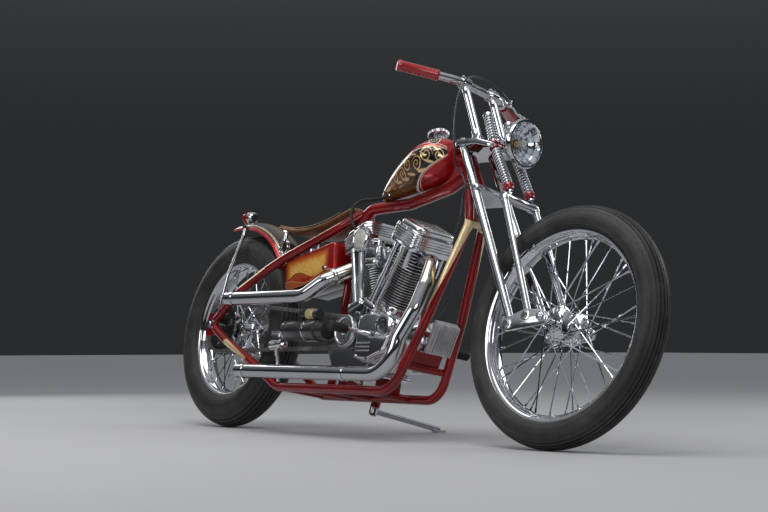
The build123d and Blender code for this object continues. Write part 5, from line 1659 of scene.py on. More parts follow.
GRIP_RADIUS = 0.0178
GRIP_LENGTH = 0.125
grip_parts = []
for sign in (1, -1):
    outer = Vector((BAR_END_X, sign * BAR_HALF, BAR_Z))
    inward = (Vector((BAR_X, sign * (RISER_HALF + 0.03), BAR_Z)) - outer).normalized()
    whole = GRIP_LENGTH + 0.0055
    profile = [(0.0, 0.0), (0.013, 0.0), (0.0172, 0.002), (GRIP_RADIUS, 0.005), (GRIP_RADIUS, 0.0115),
               (0.0168, 0.0125), (0.0165, 0.0145), (0.0166, whole - 0.0125), (0.0169, whole - 0.011),
               (0.0172, whole - 0.0095), (0.0172, whole - 0.002), (0.0165, whole), (0.0129, whole)]
    grip_parts.append(spun("grip", profile, outer - inward * 0.0055, axis=inward, start=UP, steps=40))
fitted(joined(grip_parts, "grips_dressed"), grip_finish(), "fork", "grips", slot="grip_red")

# Clutch lever: a clamp, a curved blade with a ball end, and the cable's adjuster.
BAR_CORNER = Vector((BAR_X, RISER_HALF + 0.03, BAR_Z))
outward = (Vector((BAR_END_X, BAR_HALF, BAR_Z)) - BAR_CORNER).normalized()
ahead = Vector((outward.y, -outward.x, 0))
PERCH = BAR_CORNER + outward * 0.03
LEVER_PIVOT = PERCH + ahead * 0.034
LEVER_END = PERCH + outward * 0.134 + ahead * 0.042
BARREL_END = LEVER_PIVOT - outward * 0.026
lever_parts = [
    spun("lever_clamp", [(BAR_RADIUS + 0.0002, -0.011), (0.0178, -0.011), (0.0187, -0.0095),
                         (0.0187, 0.0095), (0.0178, 0.011),
                         (BAR_RADIUS + 0.0002, 0.011)], PERCH, axis=outward, start=UP, steps=32),
    rod(PERCH + ahead * 0.014, LEVER_PIVOT, 0.0064, 20),
    rod(LEVER_PIVOT - UP * 0.0088, LEVER_PIVOT + UP * 0.0088, 0.0098, 24),
    bolt_head(LEVER_PIVOT + UP * 0.0085, UP, 0.0058, 0.0035, False),
    rod(LEVER_PIVOT, LEVER_PIVOT - outward * 0.016, 0.0058, 20),
    rod(LEVER_PIVOT - outward * 0.014, BARREL_END, 0.0046, 16),
    rod(LEVER_PIVOT - outward * 0.0135, LEVER_PIVOT - outward * 0.0185, 0.0059, 12),
]
blade = wire_run("lever_blade", [LEVER_PIVOT - outward * 0.006, LEVER_PIVOT + outward * 0.03,
                                 LEVER_PIVOT + outward * 0.06,
                                 LEVER_PIVOT + outward * 0.082 - ahead * 0.002,
                                 LEVER_END - outward * 0.012 - ahead * 0.001, LEVER_END], 0.0048, 4, 10)
lever_parts += [
    blade,
    ball(LEVER_END, 0.0078, 24, 14),
]
fitted(joined(lever_parts, "hand_lever_dressed"), chrome, "fork", "hand_lever", slot="chrome")


# ============================================================ HEADLIGHT
# A chromed bucket with a rolled bezel, a faceted reflector and bulb inside, and a clear
# domed lens with fine flutes.
LENS = Vector((1.373, 0, 0.89))
LAMP_DEPTH = 0.066
shell_parts = [
    spun("lamp_bucket", [
        (0.0, -LAMP_DEPTH), (0.018, -0.0645), (0.034, -0.058), (0.048, -0.048), (0.06, -0.036),
        (0.068, -0.022), (0.0705, -0.0145), (0.0735, -0.013), (0.0738, -0.0095), (0.0715, -0.0075),
        (0.0712, -0.002), (0.07, -0.0002), (0.0662, -0.0002), (0.0652, -0.003), (0.065, -0.01),
        (0.04, -0.04), (0.0, -0.045)], LENS, axis=AHEAD, start=UP, steps=72),
    rod(Vector((1.29, 0, 0.872)), LENS + Vector((0.02 - LAMP_DEPTH, 0, 0)), 0.0088, 24),
    rod(LENS + Vector((0.001 - LAMP_DEPTH, 0, -0.001)),
        LENS + Vector((0.012 - LAMP_DEPTH, 0, 0)), 0.016, 32),
]
for sign in (1, -1):
    bracket = plate([(1.226, 0.884), (1.296, 0.862), (1.318, 0.868), (1.322, 0.884), (1.258, 0.926),
                     (1.244, 0.926)], sign * 0.026 - 0.002, sign * 0.026 + 0.002, "lamp_bracket", 0.0015)
    shell_parts.append(bracket)
fitted(joined(shell_parts, "headlight_shell_dressed"), chrome, "fork", "headlight_shell", slot="chrome")


def reflector_finish():
    """Facets round the bulb with painted reflections: bright in their middles, dark blue at their seams."""
    bowl = Finish("reflector", Metallic=1.0, Roughness=0.06)
    place = bowl.place(FORK)
    x, y, z = bowl.parts(place)
    up = z - LENS.z
    reach = (y * y + up * up).root()
    turn = up.math("ARCTAN2", up, y) * (16 / (2 * pi))
    pie = turn.whole_turns(1.0)
    ring = (reach * (1 / 0.013)).whole_turns(1.0)
    facet = pie * (1 - pie) * 4 + ring * (1 - ring) * 4
    # Painted reflection: each facet's middle is painted bright and its seams dark blue.
    bowl.tint(facet.rise(0.2, 1.8), (0.34, 0.38, 0.46), (0.86, 0.88, 0.92))
    bowl.bump(facet, 0.45, 0.0018)
    return bowl.material


reflector = spun("reflector_bowl", [(0.0645, -0.0085), (0.052, -0.024), (0.036, -0.035), (0.018, -0.0405),
                                    (0.0125, -0.0412), (0.0125, -0.0428), (0.036, -0.037), (0.0648, -0.01)],
                 LENS, axis=AHEAD, start=UP, steps=96)
fitted(reflector, reflector_finish(), "fork", slot="chrome", smooth=20)


def bulb_finish():
    bulb = Finish("bulb_shield", Coat_Weight=0.5)
    place = bulb.place(FORK)
    x, y, z = bulb.parts(place)
    bulb.tint((x - (LENS.x - 0.018)).rise(-0.004, 0.004), (0.85, 0.62, 0.2), (0.75, 0.76, 0.78))
    bulb.feed("Roughness", 0.12 + bulb.noise(place, 300, 2) * 0.1)
    return bulb.material


bulb = spun("bulb", [(0.0, -0.042), (0.0095, -0.042), (0.01, -0.03), (0.0125, -0.026), (0.0125, -0.017),
                     (0.0105, -0.012), (0.0, -0.01)], LENS, axis=AHEAD, start=UP, steps=36)
fitted(bulb, bulb_finish(), "fork", slot="chrome")


def lens_finish():
    """Clear glass with fine upright flutes."""
    glass = Finish("clear_lens", Transmission_Weight=1.0, IOR=1.12, Coat_Weight=0.6, Coat_Roughness=0.02)
    place = glass.place(FORK)
    x, y, z = glass.parts(place)
    flutes = abs((y * (pi / 0.0062)).sine())
    glass.feed("Roughness", 0.02 + glass.noise(place, 80, 3) * 0.04)
    glass.tint(flutes, (0.93, 0.96, 0.98), (0.98, 0.99, 1.0))
    glass.bump(flutes, 0.1, 0.0005)
    return glass.material


lens = spun("headlight_lens_dressed", [(0.0, 0.007), (0.02, 0.0068), (0.04, 0.0058), (0.055, 0.0038),
                                       (0.0625, 0.0012), (0.064, 0.0003), (0.062, 0.0003), (0.054, 0.002),
                                       (0.04, 0.0038), (0.02, 0.0048), (0.0, 0.005)], LENS, axis=AHEAD,
            start=UP, steps=72)
fitted(lens, lens_finish(), "fork", "headlight_lens", slot="lamp_glass", smooth=60)


# ============================================================ CLUTCH CABLE
# A cable in a black sheath, held along its way: from the lever over the bar, down beside
# the neck, and behind the downtubes to the case.
CABLE_RADIUS = 0.003
CASE_ENTRY = Vector((0.959, 0.016, 0.338))
TURNED = PARKED.inverted() @ FORK


def beside_neck(along, ahead_of, y):
    return NECK + STEERING * along + ACROSS * ahead_of + LEFT * y


upper_route = [BARREL_END] + [Vector(point) for point in (
    (1.158, 0.084, 1.083), (1.153, 0.042, 1.099), (1.146, -0.002, 1.108), (1.146, -0.046, 1.104),
    (1.152, -0.084, 1.084), (1.16, -0.106, 1.046), (1.163, -0.113, 1.0), (1.164, -0.111, 0.952),
    (1.166, -0.104, 0.906), (1.17, -0.093, 0.862))]
upper_route += [beside_neck(0.11, -0.006, -0.072), beside_neck(0.084, 0, -0.054),
                beside_neck(0.06, 0, -0.054)]
lower_route = [TURNED @ beside_neck(0.034, 0, -0.054), beside_neck(0.004, -0.03, -0.051),
               beside_neck(-0.036, -0.046, -0.054)]
lower_route += [Vector(point) for point in (
    (1.186, -0.048, 0.618), (1.17, -0.032, 0.56), (1.158, -0.013, 0.505), (1.142, 0.002, 0.455),
    (1.118, 0.01, 0.41), (1.08, 0.014, 0.375), (1.03, 0.016, 0.35), CASE_ENTRY)]
cable_route = [FORK @ point for point in upper_route] + [PARKED @ point for point in lower_route]
cable_parts = [wire_run("cable_sheath", cable_route, CABLE_RADIUS, 4, 10)]
ferrule_way = Vector((0.03, 0, 0.005)).normalized()
cable_parts.append(rod(PARKED @ (CASE_ENTRY + ferrule_way * 0.001),
                       PARKED @ (CASE_ENTRY + ferrule_way * 0.03), 0.0058, 20))
cable = joined(cable_parts, "clutch_cable")
fitted(cable, black, None, "clutch_cable_upper", "clutch_cable_lower", slot="black_rubber")
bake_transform(cable)


# ============================================================ EXHAUSTS
# Two drag pipes in chromed tube, down from the heads and straight back, one above the
# other, with a clamp at the rear port and straps that carry them.
PIPE_Y = -0.165
PIPE_RADIUS = 0.02225
PIPE_WALL = 0.0018


def filleted(points, radii, steps=10):
    """A route with round corners: its points, and the direction at each."""
    route = [points[0]]
    for before, corner, after, radius in zip(points, points[1:], points[2:], radii):
        back = (before - corner).normalized()
        on = (after - corner).normalized()
        half = back.angle(on) / 2
        reach = radius / tan(half)
        middle = corner + (back + on).normalized() * (radius / sin(half))
        first = corner + back * reach - middle
        last = corner + on * reach - middle
        turn = pi - 2 * half
        route += [
            middle + (first * sin(turn * (1 - step / steps)) + last * sin(turn * step / steps)) / sin(turn)
            for step in range(steps + 1)
        ]
    return route + [points[-1]]


def piped(name, route, radius, wall=0.0, sides=32):
    """A round tube along a route, open at its ends where it has a wall."""
    nexts = zip(route[:1] + route[:-1], route[1:] + route[-1:])
    ways = [(after - before).normalized() for before, after in nexts]
    side_way = ways[0].orthogonal().normalized()
    rings = []
    for place, way in zip(route, ways):
        side_way = (side_way - way * side_way.dot(way)).normalized()
        other = way.cross(side_way)
        rings.append([place + (side_way * cos(2 * pi * k / sides) + other * sin(2 * pi * k / sides))
                      * radius for k in range(sides)])
    if wall:
        inner_rings = [[place + (point - place) * ((radius - wall) / radius) for point in ring]
                       for place, ring in zip(route, rings)]
        rings = inner_rings[:1] + rings + inner_rings[::-1]
    return skinned(name, rings, closed_ends=not wall)


def pipe_finish():
    """Chrome, with the straw and blue tints that heat leaves near the ports."""
    metal = Finish("exhaust_chrome", Metallic=1.0)
    place = metal.place(PARKED)
    x, y, z = metal.parts(place)
    soot = metal.noise(place, 30, 5)
    heat = y.rise(-0.135, -0.07)
    tint = metal.mix(heat, (0.52, 0.53, 0.55), (0.44, 0.38, 0.28))
    tint = metal.mix(y.rise(-0.09, -0.05), tint, (0.24, 0.25, 0.36))
    metal.feed("Base_Color", tint)
    metal.feed("Roughness", 0.06 + soot.rise(0.45, 0.8) * 0.1 + heat * 0.06)
    return metal.material


exhaust_chrome = pipe_finish()
UPPER_PIPE = [Vector((0.148, PIPE_Y, 0.414)), Vector((0.607, PIPE_Y, 0.414)),
              Vector((0.672, -0.138, 0.468)), Vector((0.712, -0.06, 0.522))]
LOWER_PIPE = [Vector((0.288, PIPE_Y, 0.172)), Vector((1.12, PIPE_Y, 0.172)), Vector((1.122, -0.152, 0.28)),
              Vector((1.156, -0.13, 0.372)), Vector((1.15, -0.1, 0.455)), Vector((1.116, -0.06, 0.528)),
              Vector((1.0, -0.02, 0.546))]
upper_pipe = piped("upper_pipe", filleted(UPPER_PIPE, [0.06, 0.04]), PIPE_RADIUS, PIPE_WALL)
upper_fit = [upper_pipe]
lower_fit = [piped("lower_pipe", filleted(LOWER_PIPE, [0.09, 0.06, 0.06, 0.06, 0.045]),
                   PIPE_RADIUS, PIPE_WALL)]
for pieces, route in ((upper_fit, UPPER_PIPE), (lower_fit, LOWER_PIPE)):
    port, before = route[-1], route[-2]
    way = (port - before).normalized()
    if pieces is upper_fit:
        pieces.append(spun("port_clamp", [(PIPE_RADIUS, 0.0), (0.0265, 0.0), (0.0275, 0.002),
                                          (0.0275, 0.012), (0.0265, 0.014), (PIPE_RADIUS, 0.014)],
                           before + way * 0.03, axis=way, start=way.orthogonal().normalized(), steps=36))
    tip = route[0]
    pieces.append(spun("tip_ring", [(PIPE_RADIUS - PIPE_WALL, 0.0), (PIPE_RADIUS, 0.0),
                                    (PIPE_RADIUS, 0.0006), (PIPE_RADIUS - PIPE_WALL, 0.0006)], tip,
                       axis=AHEAD, start=UP, steps=36))
fitted(joined(upper_fit, "exhaust_rear_dressed"), exhaust_chrome, "frame", "exhaust_rear",
       slot="chrome", smooth=50)
fitted(joined(lower_fit, "exhaust_front_dressed"), exhaust_chrome, "frame", "exhaust_front",
       slot="chrome", smooth=50)


def soot_finish():
    soot = Finish("pipe_soot", Specular_IOR_Level=0.2)
    speck = soot.noise(soot.place(), 200, 4)
    soot.tint(speck, (0.012, 0.011, 0.01), (0.03, 0.026, 0.022))
    soot.feed("Roughness", 0.8 + speck * 0.15)
    soot.bump(speck, 0.3, 0.0005)
    return soot.material


linings = []
for tip in (UPPER_PIPE[0], LOWER_PIPE[0]):
    linings.append(spun("pipe_lining", [(PIPE_RADIUS - PIPE_WALL - 0.0002, 0.004),
                                        (PIPE_RADIUS - PIPE_WALL - 0.0002, 0.12), (0.0, 0.12), (0.0, 0.119),
                                        (PIPE_RADIUS - PIPE_WALL - 0.0008, 0.119),
                                        (PIPE_RADIUS - PIPE_WALL - 0.0008, 0.004)], tip, axis=AHEAD,
                        start=UP, steps=36))
fitted(joined(linings, "pipe_linings"), soot_finish(), "frame", slot="chrome")

# Brackets that carry the pipes: a strap round each, and a bolt to the frame.
bracket_parts = []
for x, z, seat_x, seat_y, seat_z in ((0.19, 0.414, 0.196, -0.1205, 0.372),
                                     (0.33, 0.172, 0.345, -0.104, 0.166), (0.9, 0.172, 0.9, -0.104, 0.15)):
    bracket_parts.append(spun("pipe_strap", [(PIPE_RADIUS, -0.007), (PIPE_RADIUS + 0.0022, -0.007),
                                             (PIPE_RADIUS + 0.0022, 0.007), (PIPE_RADIUS, 0.007)],
                              Vector((x, PIPE_Y, z)), axis=AHEAD, start=UP, steps=36))
    ear = Vector((x, PIPE_Y + 0.022, z - 0.01))
    bracket_parts += [
        rod(ear, Vector((seat_x, seat_y, seat_z)), 0.0045, 12),
        bolt_head(ear + Vector((0, 0.004, -0.001)), RIGHT, 0.0065, 0.008),
    ]
fitted(joined(bracket_parts, "pipe_brackets"), chrome, "frame", slot="chrome")


# ============================================================ CHAIN AND SPROCKETS
# A roller chain of steel plates on pins, run over a toothed rear sprocket with round
# lightening holes, and a toothed sprocket on the gearbox.
SPROCKET_Y = -0.08
CHAIN_REAR, CHAIN_DRIVE = 0.086, 0.046
DRIVE = Vector((0.79, SPROCKET_Y, 0.312))
REAR_CENTRE = Vector((0, SPROCKET_Y, REAR_RADIUS))


def polar(centre, reach, angle):
    """The point at an angle round a centre, in the plane of the wheels."""
    return centre + Vector((reach * cos(angle), 0, reach * sin(angle)))


def hole(place, radius, sides):
    """A cutter through a plate, along the axle."""
    return rod(place - LEFT * 0.02, place + LEFT * 0.02, radius, sides)


def drilled(piece, cutters):
    """Cuts the holes through a piece."""
    cutter = joined(cutters, "hole_cutter")
    applied(piece, "BOOLEAN", operation="DIFFERENCE", object=cutter, solver="EXACT")
    bpy.data.objects.remove(cutter)
    return piece


def toothed(name, centre, pitch_radius, teeth, half, bore, holes=(), hole_radius=0.0):
    """A toothed plate: tips just inside the chain's rollers, with holes cut through."""
    outline = []
    for tooth in range(teeth):
        for share, reach in ((0.0, -0.0062), (0.22, -0.0048), (0.4, 0.001), (0.5, 0.0022), (0.6, 0.001),
                             (0.78, -0.0048)):
            angle = 2 * pi * (tooth + share) / teeth
            outline.append((centre.x + (pitch_radius + reach) * cos(angle),
                            centre.z + (pitch_radius + reach) * sin(angle)))
    wheel = plate(outline, centre.y - half, centre.y + half, name, 0.0)
    cutters = [hole(centre, bore, 36)]
    cutters += [hole(polar(centre, reach, angle), hole_radius, 28) for angle, reach in holes]
    return drilled(wheel, cutters)


rear_holes = [(2 * pi * count / 6 + 0.3, 0.0535) for count in range(6)]
sprocket_parts = [toothed("rear_teeth", REAR_CENTRE, CHAIN_REAR - 0.0075, 48, 0.003, 0.012,
                          rear_holes, 0.0145)]
sprocket_parts.append(spun("sprocket_hub", [(0.0105, -0.021), (0.039, -0.021), (0.0395, -0.0195),
                                            (0.0395, -0.004), (0.03, 0.003), (0.0105, 0.003)], REAR_CENTRE,
                           axis=RIGHT, steps=48))
sprocket_bolt = bolt_head(REAR_CENTRE + Vector((0.0335, -0.003, 0)), RIGHT, 0.0052, 0.005, False)
sprocket_parts.append(ringed(sprocket_bolt, 6, REAR_CENTRE))
fitted(joined(sprocket_parts, "rear_sprocket_dressed"), black, "rear_wheel", "rear_sprocket",
       slot="bare_steel")

drive_parts = [
    toothed("drive_teeth", DRIVE, CHAIN_DRIVE - 0.0078, 24, 0.0029, 0.01),
    rod(Vector((DRIVE.x, -CASE_HALF, DRIVE.z)),
        Vector((DRIVE.x, -CASE_HALF - 0.0335, DRIVE.z)), 0.0138, 28),
    rod(Vector((DRIVE.x, -CASE_HALF - 0.0135, DRIVE.z)),
        Vector((DRIVE.x, -CASE_HALF - 0.0235, DRIVE.z)), 0.0215, 6),
]
fitted(joined(drive_parts, "drive_sprocket_dressed"), steel, "frame", "drive_sprocket", slot="bare_steel")

# The chain's centre line: two straight runs that touch both circles, and the arcs.
span = DRIVE.x - REAR_CENTRE.x
drop = DRIVE.z - REAR_CENTRE.z
reach_between = sqrt(span * span + drop * drop)
line_turn = atan2(drop, span)
tangent_turn = atan2(sqrt(reach_between ** 2 - (CHAIN_REAR - CHAIN_DRIVE) ** 2), CHAIN_REAR - CHAIN_DRIVE)
run_length = sqrt(reach_between ** 2 - (CHAIN_REAR - CHAIN_DRIVE) ** 2)
rear_arc = (2 * pi - 2 * tangent_turn) * CHAIN_REAR
drive_arc = 2 * tangent_turn * CHAIN_DRIVE
chain_length = 2 * run_length + rear_arc + drive_arc


def on_chain(distance):
    """The point on the chain's line, from the rear circle's top."""
    top_turn = line_turn + tangent_turn
    low_turn = line_turn - tangent_turn
    if distance < run_length:
        start, end = polar(REAR_CENTRE, CHAIN_REAR, top_turn), polar(DRIVE, CHAIN_DRIVE, top_turn)
        return start.lerp(end, distance / run_length)
    distance -= run_length
    if distance < drive_arc:
        return polar(DRIVE, CHAIN_DRIVE, top_turn - distance / CHAIN_DRIVE)
    distance -= drive_arc
    if distance < run_length:
        start, end = polar(DRIVE, CHAIN_DRIVE, low_turn), polar(REAR_CENTRE, CHAIN_REAR, low_turn)
        return start.lerp(end, distance / run_length)
    distance -= run_length
    return polar(REAR_CENTRE, CHAIN_REAR, low_turn - distance / CHAIN_REAR)


LINKS = 2 * round(chain_length / 0.0159 / 2)
LINK = chain_length / LINKS


def link_piece(half_gap):
    """One link laid along X: two waisted plates and the rollers' pins."""
    waist = [(-LINK / 2 + 0.0068 * cos(a), 0.0068 * sin(a))
             for a in [pi / 2 + pi * k / 8 for k in range(9)]]
    waist += [(0, -0.0048)]
    waist += [(LINK / 2 + 0.0068 * cos(a), 0.0068 * sin(a))
              for a in [-pi / 2 + pi * k / 8 for k in range(9)]]
    waist += [(0, 0.0048)]
    parts = [plate(waist, sign * half_gap - 0.0007, sign * half_gap + 0.0007, "link_plate", 0.0)
             for sign in (1, -1)]
    for end in (-1, 1):
        pin_at = Vector((end * LINK / 2, 0, 0))
        parts.append(rod(pin_at + LEFT * -half_gap, pin_at + LEFT * half_gap, 0.0046, 12))
        if half_gap > 0.005:
            parts.append(rod(pin_at + LEFT * -0.0069, pin_at + LEFT * 0.0069, 0.0022, 8))
    return joined(parts, "link")


inner_link, outer_link = link_piece(0.0042), link_piece(0.0058)
links = []
for count in range(LINKS):
    first = on_chain(count * LINK)
    second = on_chain(((count + 1) * LINK) % chain_length)
    way = (second - first).normalized()
    turn = Matrix.Rotation(-atan2(way.z, way.x), 4, "Y")
    model = inner_link if count % 2 else outer_link
    links.append(copied(model, Matrix.Translation((first + second) / 2) @ turn))
for model in (inner_link, outer_link):
    bpy.data.objects.remove(model)
fitted(joined(links, "chain_dressed"), steel, "frame", "chain", slot="bare_steel")

# Rear brake disc: a ground steel ring with rows of small holes on a spider.
disc_centre = REAR_AXLE + LEFT * 0.08
disc_ring = plate([(0.1245 * cos(2 * pi * k / 96), REAR_RADIUS + 0.1245 * sin(2 * pi * k / 96))
                   for k in range(96)], 0.0777, 0.0823, "disc_ring", 0.0005, 1)
cutters = [hole(polar(disc_centre, 0.075, 2 * pi * count / 6), 0.016, 32) for count in range(6)]
for count in range(24):
    for stagger, reach in ((0, 0.102), (0.5, 0.114)):
        cutters.append(hole(polar(disc_centre, reach, 2 * pi * (count + stagger) / 24), 0.0032, 12))
drilled(disc_ring, cutters)
disc_bolt = bolt_head(disc_centre + Vector((0.0335, 0.002, 0)), LEFT, 0.0052, 0.005, False)
disc_parts = [disc_ring, ringed(disc_bolt, 6, disc_centre),
              spun("disc_hub", [(0.0105, -0.0215), (0.0385, -0.0215), (0.0395, -0.02), (0.0395, 0.002),
                                (0.036, 0.0035), (0.0105, 0.0035)], disc_centre, steps=48)]
fitted(joined(disc_parts, "rear_brake_disc_dressed"), steel, "rear_wheel", "rear_brake_disc",
       slot="bare_steel")

axle_set = [rod(REAR_AXLE + LEFT * -0.141, REAR_AXLE + LEFT * 0.141, 0.0093, 28)]
for sign in (1, -1):
    inner_face = 0.12 + 0.0045 + 0.0003
    washer_at = REAR_AXLE + LEFT * (sign * inner_face)
    axle_set += [
        rod(washer_at, washer_at + LEFT * (sign * 0.0018), 0.0158, 36),
        rod(washer_at + LEFT * (sign * 0.0018), washer_at + LEFT * (sign * 0.0118), 0.015, 6),
    ]
fitted(joined(axle_set, "rear_axle_dressed"), chrome, "frame", "rear_axle", slot="chrome")


# ============================================================ STARTER, COVERS AND CONTROLS
# The black starter with its solenoid and chromed ends, the sprocket's cover, a finned
# regulator between the downtubes, the rear brake's cylinder, the fuel hose and the pegs.
STARTER_Y, STARTER_Z = -0.12, 0.311


def along_x(name, stations, y, z, steps=40):
    """A turned piece along X from (x, radius) stations."""
    start_x = stations[0][0]
    profile = [(0.0, 0.0)] + [(radius, x - start_x) for x, radius in stations]
    profile.append((0.0, stations[-1][0] - start_x))
    return spun(name, profile, Vector((start_x, y, z)), axis=AHEAD, start=UP, steps=steps)


starter_body = along_x("starter_dressed", [(0.494, 0.0335), (0.496, 0.0345), (0.6, 0.0345), (0.602, 0.0335),
                                           (0.606, 0.0335), (0.608, 0.0345), (0.664, 0.0345), (0.666, 0.03),
                                           (0.707, 0.0285)], STARTER_Y, STARTER_Z)
starter_parts = [starter_body, block(Vector((0.694, -0.0905, STARTER_Z)), (0.027, 0.04, 0.039), 0.003),
                 rod(Vector((0.56, -0.12, 0.343)), Vector((0.64, -0.12, 0.343)), 0.003, 8)]
fitted(joined(starter_parts, "starter_dressed"), black, "frame", "starter", slot="black_metal")
starter_ends = [
    along_x("starter_cap", [(0.4805, 0.03), (0.4825, 0.0335), (0.494, 0.0349)], STARTER_Y, STARTER_Z),
    along_x("starter_band", [(0.6005, 0.0346), (0.601, 0.0349), (0.607, 0.0349), (0.6075, 0.0346)],
            STARTER_Y, STARTER_Z),
    bolt_head(Vector((0.4812, STARTER_Y - 0.016, STARTER_Z + 0.012)), BACK, 0.0035, 0.0005, False),
]
fitted(joined(starter_ends, "starter_ends"), chrome, "frame", slot="chrome")

SOLENOID_Z = STARTER_Z + 0.0535
solenoid = along_x("solenoid", [(0.56, 0.017), (0.562, 0.019), (0.584, 0.019), (0.585, 0.0184),
                                (0.636, 0.0184), (0.637, 0.019), (0.648, 0.019), (0.65, 0.0165)],
                   STARTER_Y, SOLENOID_Z)
solenoid_set = [solenoid, block(Vector((0.607, STARTER_Y, STARTER_Z + 0.035)), (0.06, 0.016, 0.012), 0.002)]
fitted(joined(solenoid_set, "starter_solenoid"), black, "frame", slot="black_metal")


def label_finish():
    """Yellowed paper under varnish, with nothing printed on it."""
    paper = Finish("blank_label", Coat_Weight=0.4, Coat_Roughness=0.15)
    age = paper.noise(paper.place(), 60, 4)
    paper.tint(age.rise(0.3, 0.8), (0.72, 0.6, 0.3), (0.56, 0.44, 0.2))
    paper.feed("Roughness", 0.45 + age * 0.2)
    return paper.material


label = spun("solenoid_label", [(0.0185, 0.0), (0.0189, 0.0006), (0.0189, 0.0404), (0.0185, 0.041)],
             Vector((0.59, STARTER_Y, SOLENOID_Z)), axis=AHEAD, start=UP, steps=40)
fitted(label, label_finish(), "frame", slot="black_metal")

cover_centre = Vector((DRIVE.x, -CASE_HALF - 0.034, DRIVE.z))
cover_parts = [
    spun("sprocket_disc", [(0.0, 0.0), (0.0505, 0.0), (0.0518, 0.002), (0.0518, 0.012), (0.049, 0.0165),
                           (0.044, 0.0178), (0.04, 0.0165), (0.038, 0.0148), (0.015, 0.0148),
                           (0.013, 0.0165), (0.0, 0.0178)],
         cover_centre, axis=RIGHT, steps=64),
    rod(Vector((DRIVE.x - 0.0445, -CASE_HALF, DRIVE.z)),
        Vector((DRIVE.x - 0.0445, -CASE_HALF - 0.0375, DRIVE.z)), 0.0048, 16),
]
for angle in (90, 210, 330):
    at = cover_centre + Vector((0.0445 * cos(radians(angle)), -0.016, 0.0445 * sin(radians(angle))))
    cover_parts.append(bolt_head(at, RIGHT, 0.0036, 0.0016, False))


def engraved_finish():
    """Polished metal with a ring of hand-cut petals."""
    metal = Finish("engraved_cover", Metallic=1.0)
    place = metal.place(PARKED)
    x, y, z = metal.parts(place)
    right = x - DRIVE.x
    up = z - DRIVE.z
    reach = (right * right + up * up).root()
    turn = up.math("ARCTAN2", up, right)
    petals = abs((turn * 5.0 + reach * 160.0).sine()) * 0.011 + 0.02
    line = 1 - (abs(reach - petals) - 0.0006).rise(0.0, 0.0008)
    rings = 1 - (abs(reach - 0.0345) - 0.0004).rise(0.0, 0.0006)
    cuts = line.more(rings)
    wear = metal.noise(place, 60, 4)
    metal.tint(cuts, (0.7, 0.71, 0.73), (0.22, 0.22, 0.23))
    metal.feed("Roughness", 0.14 + wear * 0.14)
    metal.bump(1 - cuts, 0.4, 0.0008)
    return metal.material


fitted(joined(cover_parts, "sprocket_cover_dressed"), engraved_finish(), "frame", "sprocket_cover",
       slot="polished_aluminium")

REGULATOR_TILT = radians(20)
regulator_way = Vector((cos(REGULATOR_TILT), 0, -sin(REGULATOR_TILT)))
regulator_up = Vector((sin(REGULATOR_TILT), 0, cos(REGULATOR_TILT)))
regulator_at = Vector((1.115, 0, 0.312)) + regulator_way * 0.0083
regulator_axes = Matrix((regulator_way, LEFT, regulator_up)).transposed().to_4x4()
regulator_parts = [block(Vector((0.007, 0, 0)), (0.0135, 0.083, 0.103), 0.003, 2)]
for count in range(9):
    regulator_parts.append(block(Vector((0.0225, (count - 4) * 0.009, 0)),
                                 (0.0185, 0.0028, 0.095), 0.001, 1))
for y in (-0.036, 0.036):
    for z in (-0.046, 0.046):
        regulator_parts.append(bolt_head(Vector((0.0132, y, z)), AHEAD, 0.0042, 0.004, False))
regulator_piece = raised(joined(regulator_parts, "regulator_dressed"),
                         Matrix.Translation(regulator_at) @ regulator_axes)
fitted(regulator_piece, casting, "frame", "regulator", slot="fin_aluminium")

# Rear brake cylinder with its square reservoir, cap and rod.
brake_parts = [
    necked("brake_barrel", Vector((0.4005, -0.122, 0.262)), Vector((0.47, -0.122, 0.268)),
           [(0.0, 0.012), (0.04, 0.0165), (0.3, 0.0168), (0.34, 0.015), (0.86, 0.015),
            (0.9, 0.0168), (1.0, 0.016)]),
    rod(Vector((0.46, -0.122, 0.267)), Vector((0.4785, -0.122, 0.268)), 0.0068, 6),
    block(Vector((0.436, -0.122, 0.288)), (0.05, 0.032, 0.028), 0.004, 3),
    block(Vector((0.436, -0.122, 0.3045)), (0.0515, 0.0335, 0.008), 0.002, 2),
    rod(Vector((0.432, -0.122, 0.262)), Vector((0.432, -0.0975, 0.149)), 0.0058, 14),
    rod(Vector((0.432, -0.1215, 0.253)), Vector((0.432, -0.1165, 0.23)), 0.0082, 6),
]
for x in (-0.018, 0.018):
    brake_parts.append(bolt_head(Vector((0.436 + x, -0.122, 0.308)), UP, 0.0035, 0.001, False))
fitted(joined(brake_parts, "brake_cylinder_dressed"), polished, "frame", "brake_cylinder", slot="chrome")

# Fuel line: a short black hose, held at the tank's tap and at the carburettor.
fuel_line = joined([
    wire_run("fuel_hose", [Vector(point) for point in (
        (0.8, -0.03, 0.762), (0.798, -0.042, 0.748), (0.79, -0.07, 0.738), (0.775, -0.112, 0.728),
        (0.762, -0.136, 0.7), (0.768, -0.14, 0.665), (0.792, -0.138, 0.632), (0.826, -0.12, 0.606),
        (0.846, -0.104, 0.59))], 0.005, 4, 10),
], "fuel_line")
fitted(fuel_line, rubber, "frame", slot="black_rubber")
tap = joined([
    rod(Vector((0.8, -0.03, 0.776)), Vector((0.8, -0.03, 0.757)), 0.0065, 18),
    rod(Vector((0.8, -0.03, 0.766)), Vector((0.8, -0.05, 0.766)), 0.004, 14),
    rod(Vector((0.846, -0.104, 0.59)), Vector((0.855, -0.098, 0.585)), 0.006, 14),
], "fuel_tap")
fitted(tap, chrome, "frame", slot="chrome")

